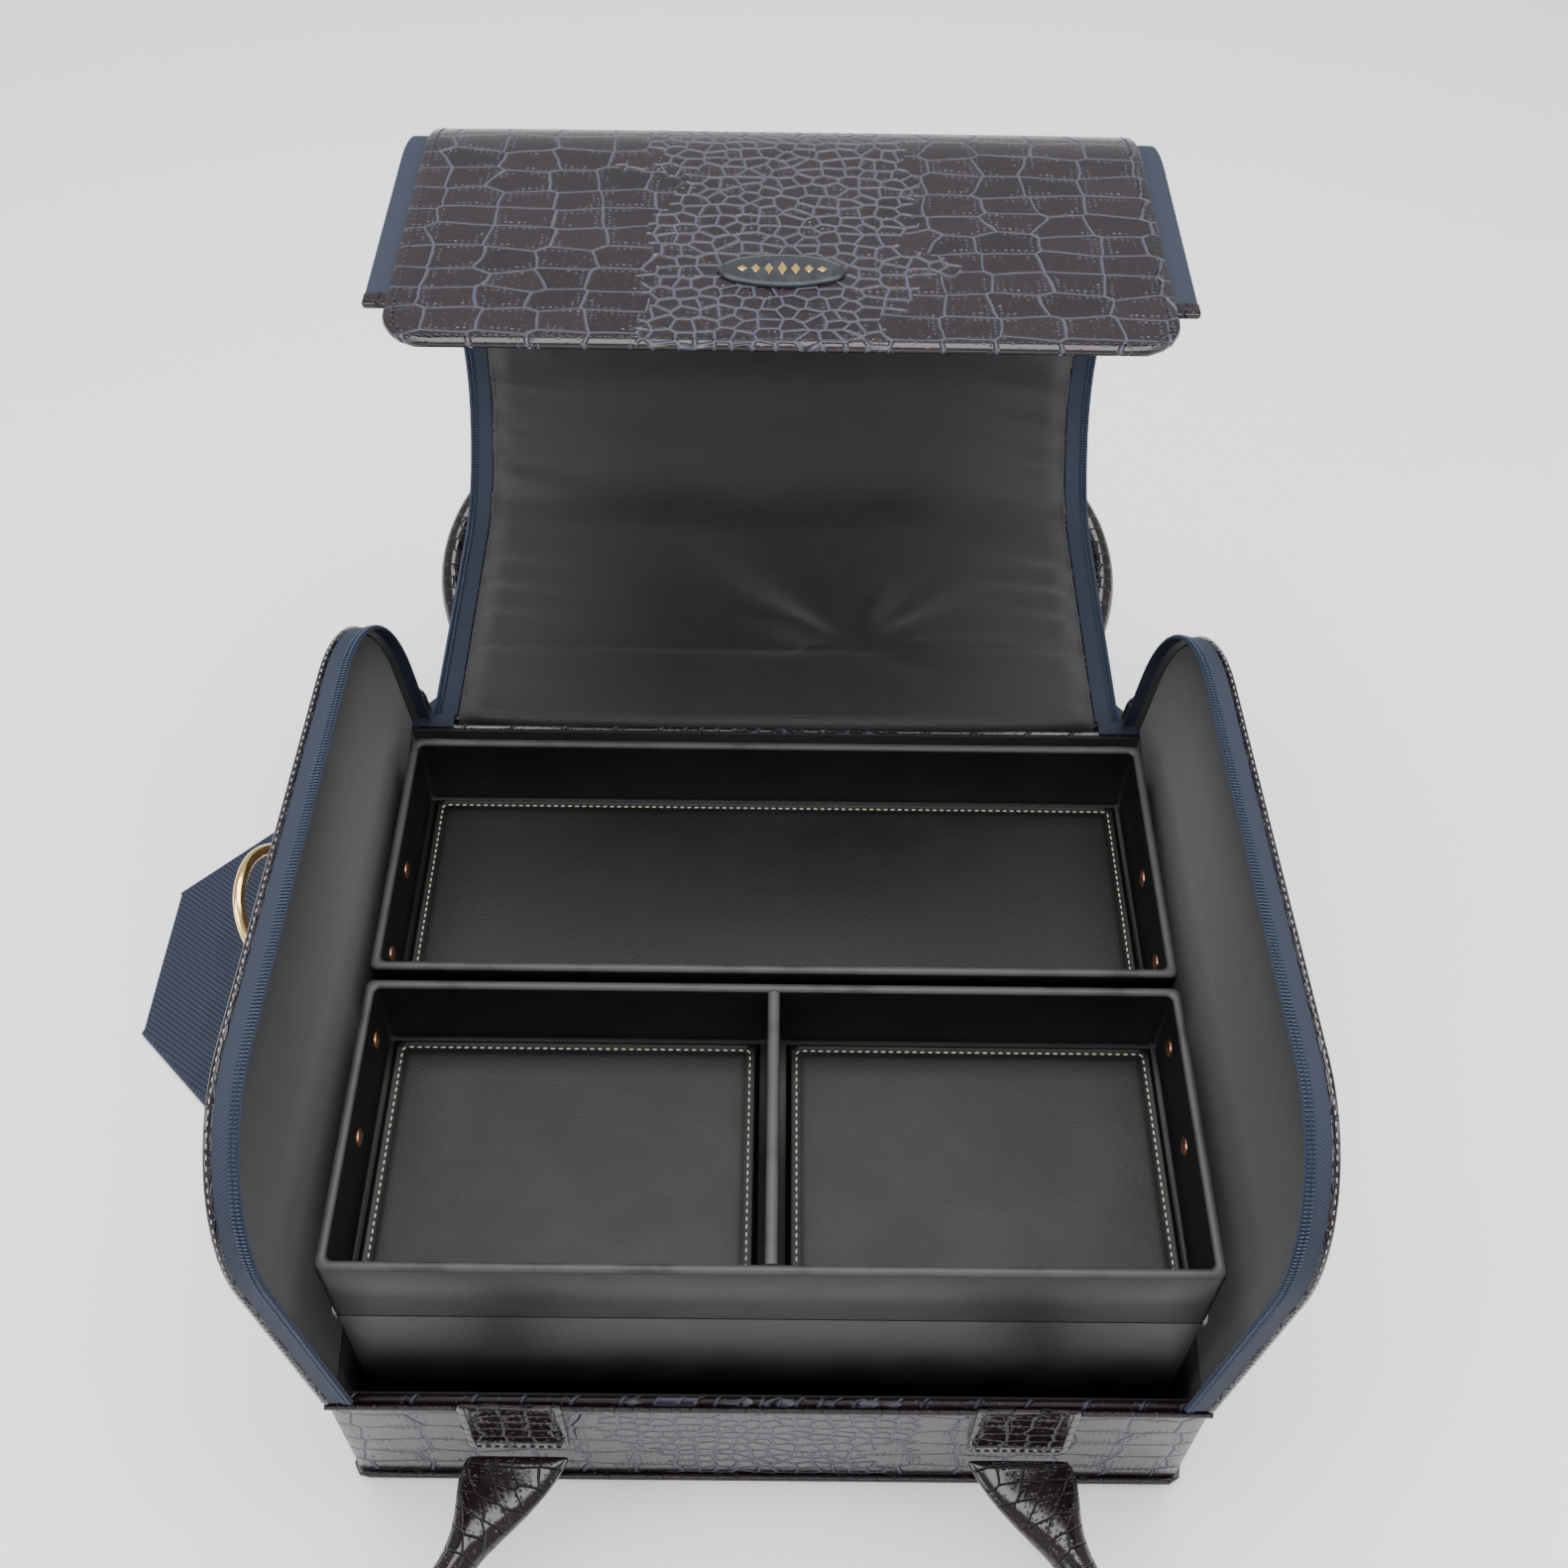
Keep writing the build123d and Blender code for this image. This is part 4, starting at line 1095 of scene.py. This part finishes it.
for way, end, lift in ((-1, "front", front_drop), (1, "rear", rear_lift)):
    marks = handle_run.steps(0, handle_run.length, 4 * MM)
    placed = [handle_station(a, way, lift) for a in marks]
    roll = sweep([p[:3] for p in placed], [handle_section(p[3]) for p in placed], None, True, marks)
    end_edges = [e for f in roll.faces if len(f.verts) > 4 for e in f.edges]
    bmesh.ops.bevel(roll, geom=end_edges, offset=1.2 * MM, segments=3, profile=0.5, affect="EDGES",
                    clamp_overlap=True, material=-1)
    made(f"{end}_handle_roll", roll, croc_handle, f"{end}_handle", "croc_handle", [f"{end}_handle"])

    seam = bmesh.new()
    for along in handle_run.steps(5 * MM, handle_run.length - 5 * MM, stitch_pitch):
        centre, across, normal, flat = handle_station(along, way, lift)
        wide, thick = handle_section(flat)[0][0], handle_section(flat)[7][1]
        ahead = across.cross(normal)
        if flat > 0.12:
            for side in (-1, 1):
                spot = centre + across * side * (wide - 3.4 * MM) + normal * thick
                bead_at(seam, spot, ahead, normal, (1.2 * MM, 0.32 * MM, 0.3 * MM))
    made(f"{end}_handle_stitches", seam, dark_thread, f"{end}_handle", "croc_handle")

    place = facing(Vector((0, way * half_depth, 0)), X * -way, Z)
    tabs, rows = [], []
    for x in (-tab_centre, tab_centre):
        outline = rectangle(x - tab_half, tabs_low.z, x + tab_half, tabs_high.z, 1.5 * MM)
        tabs.append(stood(slab(outline, 0.3 * MM, 2.2 * MM, 0.6 * MM, 0.4 * MM, 3 * MM), place))
        inner = rectangle(x - tab_half + tab_seam, tabs_low.z + tab_seam, x + tab_half - tab_seam,
                          tabs_high.z - tab_seam, 1 * MM)
        rows.append((ring_of(inner, 2.75 * MM, place), Y * way))
    made(f"{end}_tabs", joined(tabs), croc_handle, "case", "croc_handle", [f"{end}_handle_tabs"])
    stitches(f"{end}_tab_stitches", rows, dark_thread, "case")


# ---- Shoulder strap: sewn to both sides, lying on the table round the back ----
def strap_band(points, out_axis, name, stands_for, start_cut=0.0, end_cut=0.0):
    """Webbing along points with its width on out_axis; a cut of 1 or -1 slants that end by 45 degrees."""
    line = Path(points)
    upward = 1 if line.at(line.length)[1].cross(out_axis).z > 0 else -1
    half = webbing_width / 2
    bm, flat, rings = blank(), {}, []
    for along in line.steps(0, line.length, 5 * MM):
        near_start, near_end = (max(0.0, 1 - reach / slant_reach) for reach in (along, line.length - along))
        top, low = [], []
        for column in range(21):
            u = -half + webbing_width * column / 20
            at = along + u * start_cut * near_start + u * end_cut * near_end
            point, heading = line.at(min(max(at, -half), line.length + half))
            normal = heading.cross(out_axis).normalized() * upward
            ripple = max(0.35 * MM * math.sin(at * 33 + u * 20) * (1 - near_start) * (1 - near_end), 0)
            edge = column in (0, 20)
            for row, lift in ((top, webbing - 0.2 * MM * edge), (low, 0.25 * MM * edge)):
                row.append(bm.verts.new(point + out_axis * u + normal * (lift + ripple)))
                flat[row[-1]] = (u, at)
        rings.append(top + low[::-1])
    walled(bm, rings)
    return made(name, unrolled(bm, flat.get), strap_webbing, "case", "webbing", stands_for, 50)


def fold_roll(name, start, end, radius):
    """The rounded edge where the webbing turns over on itself."""
    line = [start.lerp(end, n / 16) for n in range(17)]
    heading = (end - start).normalized()
    stations = [(p, heading.cross(Z), Z) for p in line]
    return made(name, sweep(stations, cord_round(radius, 12)), strap_webbing, "case", "webbing")


layer = webbing + 0.05 * MM
for side, hand in ((-1, "left"), (1, "right")):
    end_low, end_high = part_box(f"strap_end_{hand}")
    run_low, run_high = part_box(f"strap_side_{hand}")
    middle = (end_low.y + end_high.y) / 2
    far_x = side * max(abs(end_low.x), abs(end_high.x))
    wall_x = side * (half_width + 0.6 * MM)
    drop = [(wall_x, end_high.z), (wall_x, 14 * MM), (side * (half_width + 13 * MM), 0.0),
            (far_x - side * webbing_width / 2, 0.0)]
    path = rounded(drop, [0, 18 * MM, 16 * MM, 0], steps=8)
    strap_band([Vector((p.x, middle, p.y)) for p in path], Y, f"strap_foot_{hand}", [f"strap_end_{hand}"],
               0.0, 1.0)
    run_x = (run_low.x + run_high.x) / 2
    strap_band([Vector((run_x, y, layer)) for y in (middle, (middle + strap_y) / 2, strap_y)], X,
               f"strap_run_{hand}", [f"strap_side_{hand}"], float(side), -float(side))
    fold_roll(f"strap_fold_{hand}", Vector((far_x - side * webbing_width, end_low.y, 2 * MM)),
              Vector((far_x, end_high.y, 2 * MM)), 1.95 * MM)
    fold_roll(f"strap_back_fold_{hand}", Vector((far_x, strap_y - webbing_width / 2, 2 * MM)),
              Vector((far_x - side * webbing_width, strap_y + webbing_width / 2, 2 * MM)), 1.95 * MM)
back_strap_low, back_strap_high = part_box("strap_back")
half_band = webbing_width / 2
back_line = [Vector((x, strap_y, 0)) for x in (back_strap_low.x + half_band, 0, back_strap_high.x - half_band)]
strap_band(back_line, Y, "strap_behind", ["strap_back"], 1.0, -1.0)


# ---- CAD pieces that stay: metal and the box's shell take their finishes here ----
def finish_node(name, material, bevel=0.0):
    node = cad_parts[name]
    node.data.materials.clear()
    node.data.materials.append(material)
    if bevel:
        edge = node.modifiers.new("soft_edges", "BEVEL")
        edge.width, edge.segments, edge.limit_method = bevel, 2, "ANGLE"


for name in ("d_ring_left", "d_ring_right"):
    finish_node(name, gold)
finish_node("strap_slider", gold, 0.5 * MM)
finish_node("box_shell", box_sheet, 0.5 * MM)
for end in ("front", "rear"):
    for which in ("outer", "inner"):
        finish_node(f"{end}_{which}_arms", arm_steel, 0.25 * MM)


# ---- Studio: pale floor, soft lights and the camera ----
def area_light(name, place, aim, size, power):
    data = bpy.data.lights.new(name, "AREA")
    data.shape, data.size, data.size_y, data.energy = "RECTANGLE", size[0], size[1], power
    lamp = bpy.data.objects.new(name, data)
    lamp.location = place
    lamp.rotation_euler = (Vector(aim) - Vector(place)).to_track_quat("-Z", "Y").to_euler()
    bpy.context.scene.collection.objects.link(lamp)


ground = bmesh.new()
bmesh.ops.create_grid(ground, x_segments=2, y_segments=2, size=4.0)
paper = Finish("pale_paper", (0.92, 0.92, 0.93, 1), 0.62)
paper.put("Emission Color", (1, 1, 1, 1))
paper.put("Emission Strength", 0.22)
paper_grain = paper.place().noise(55.0, 4.0)
paper.put("Base Color", paper_grain.mixed((0.91, 0.91, 0.92, 1), (0.94, 0.94, 0.95, 1)))
floor = made("studio_floor", ground, paper.material)
floor.location.z = -0.2 * MM

world = bpy.data.worlds.new("studio_air")
world.use_nodes = True
world.node_tree.nodes["Background"].inputs["Color"].default_value = (0.95, 0.97, 1.0, 1)
world.node_tree.nodes["Background"].inputs["Strength"].default_value = 0.72
bpy.context.scene.world = world
area_light("top_softbox", (0.0, 0.35, 1.6), (0, 0.1, 0.1), (1.6, 1.0), 34)
area_light("left_softbox", (-1.3, -0.5, 0.9), (0, 0, 0.15), (0.9, 0.9), 13)
area_light("right_softbox", (1.3, -0.3, 0.9), (0, 0, 0.15), (0.8, 0.8), 9)
area_light("front_fill", (0.0, -1.6, 1.1), (0, 0, 0.1), (1.8, 0.7), 9)

camera_place = Vector((-1.3 * MM, -395.3 * MM, 766.4 * MM))
camera_aim = Vector((4.9 * MM, 239.6 * MM, 0))
camera_roll = math.radians(1.084)
camera_data = bpy.data.cameras.new("camera")
camera_data.lens, camera_data.sensor_width = 40.04, 36.0
camera = bpy.data.objects.new("camera", camera_data)
camera.location = camera_place
look = (camera_aim - camera_place).to_track_quat("-Z", "Y").to_matrix().to_4x4()
camera.rotation_euler = (look @ Matrix.Rotation(camera_roll, 4, "Z")).to_euler()
bpy.context.scene.collection.objects.link(camera)
bpy.context.scene.camera = camera

bpy.context.view_layer.update()
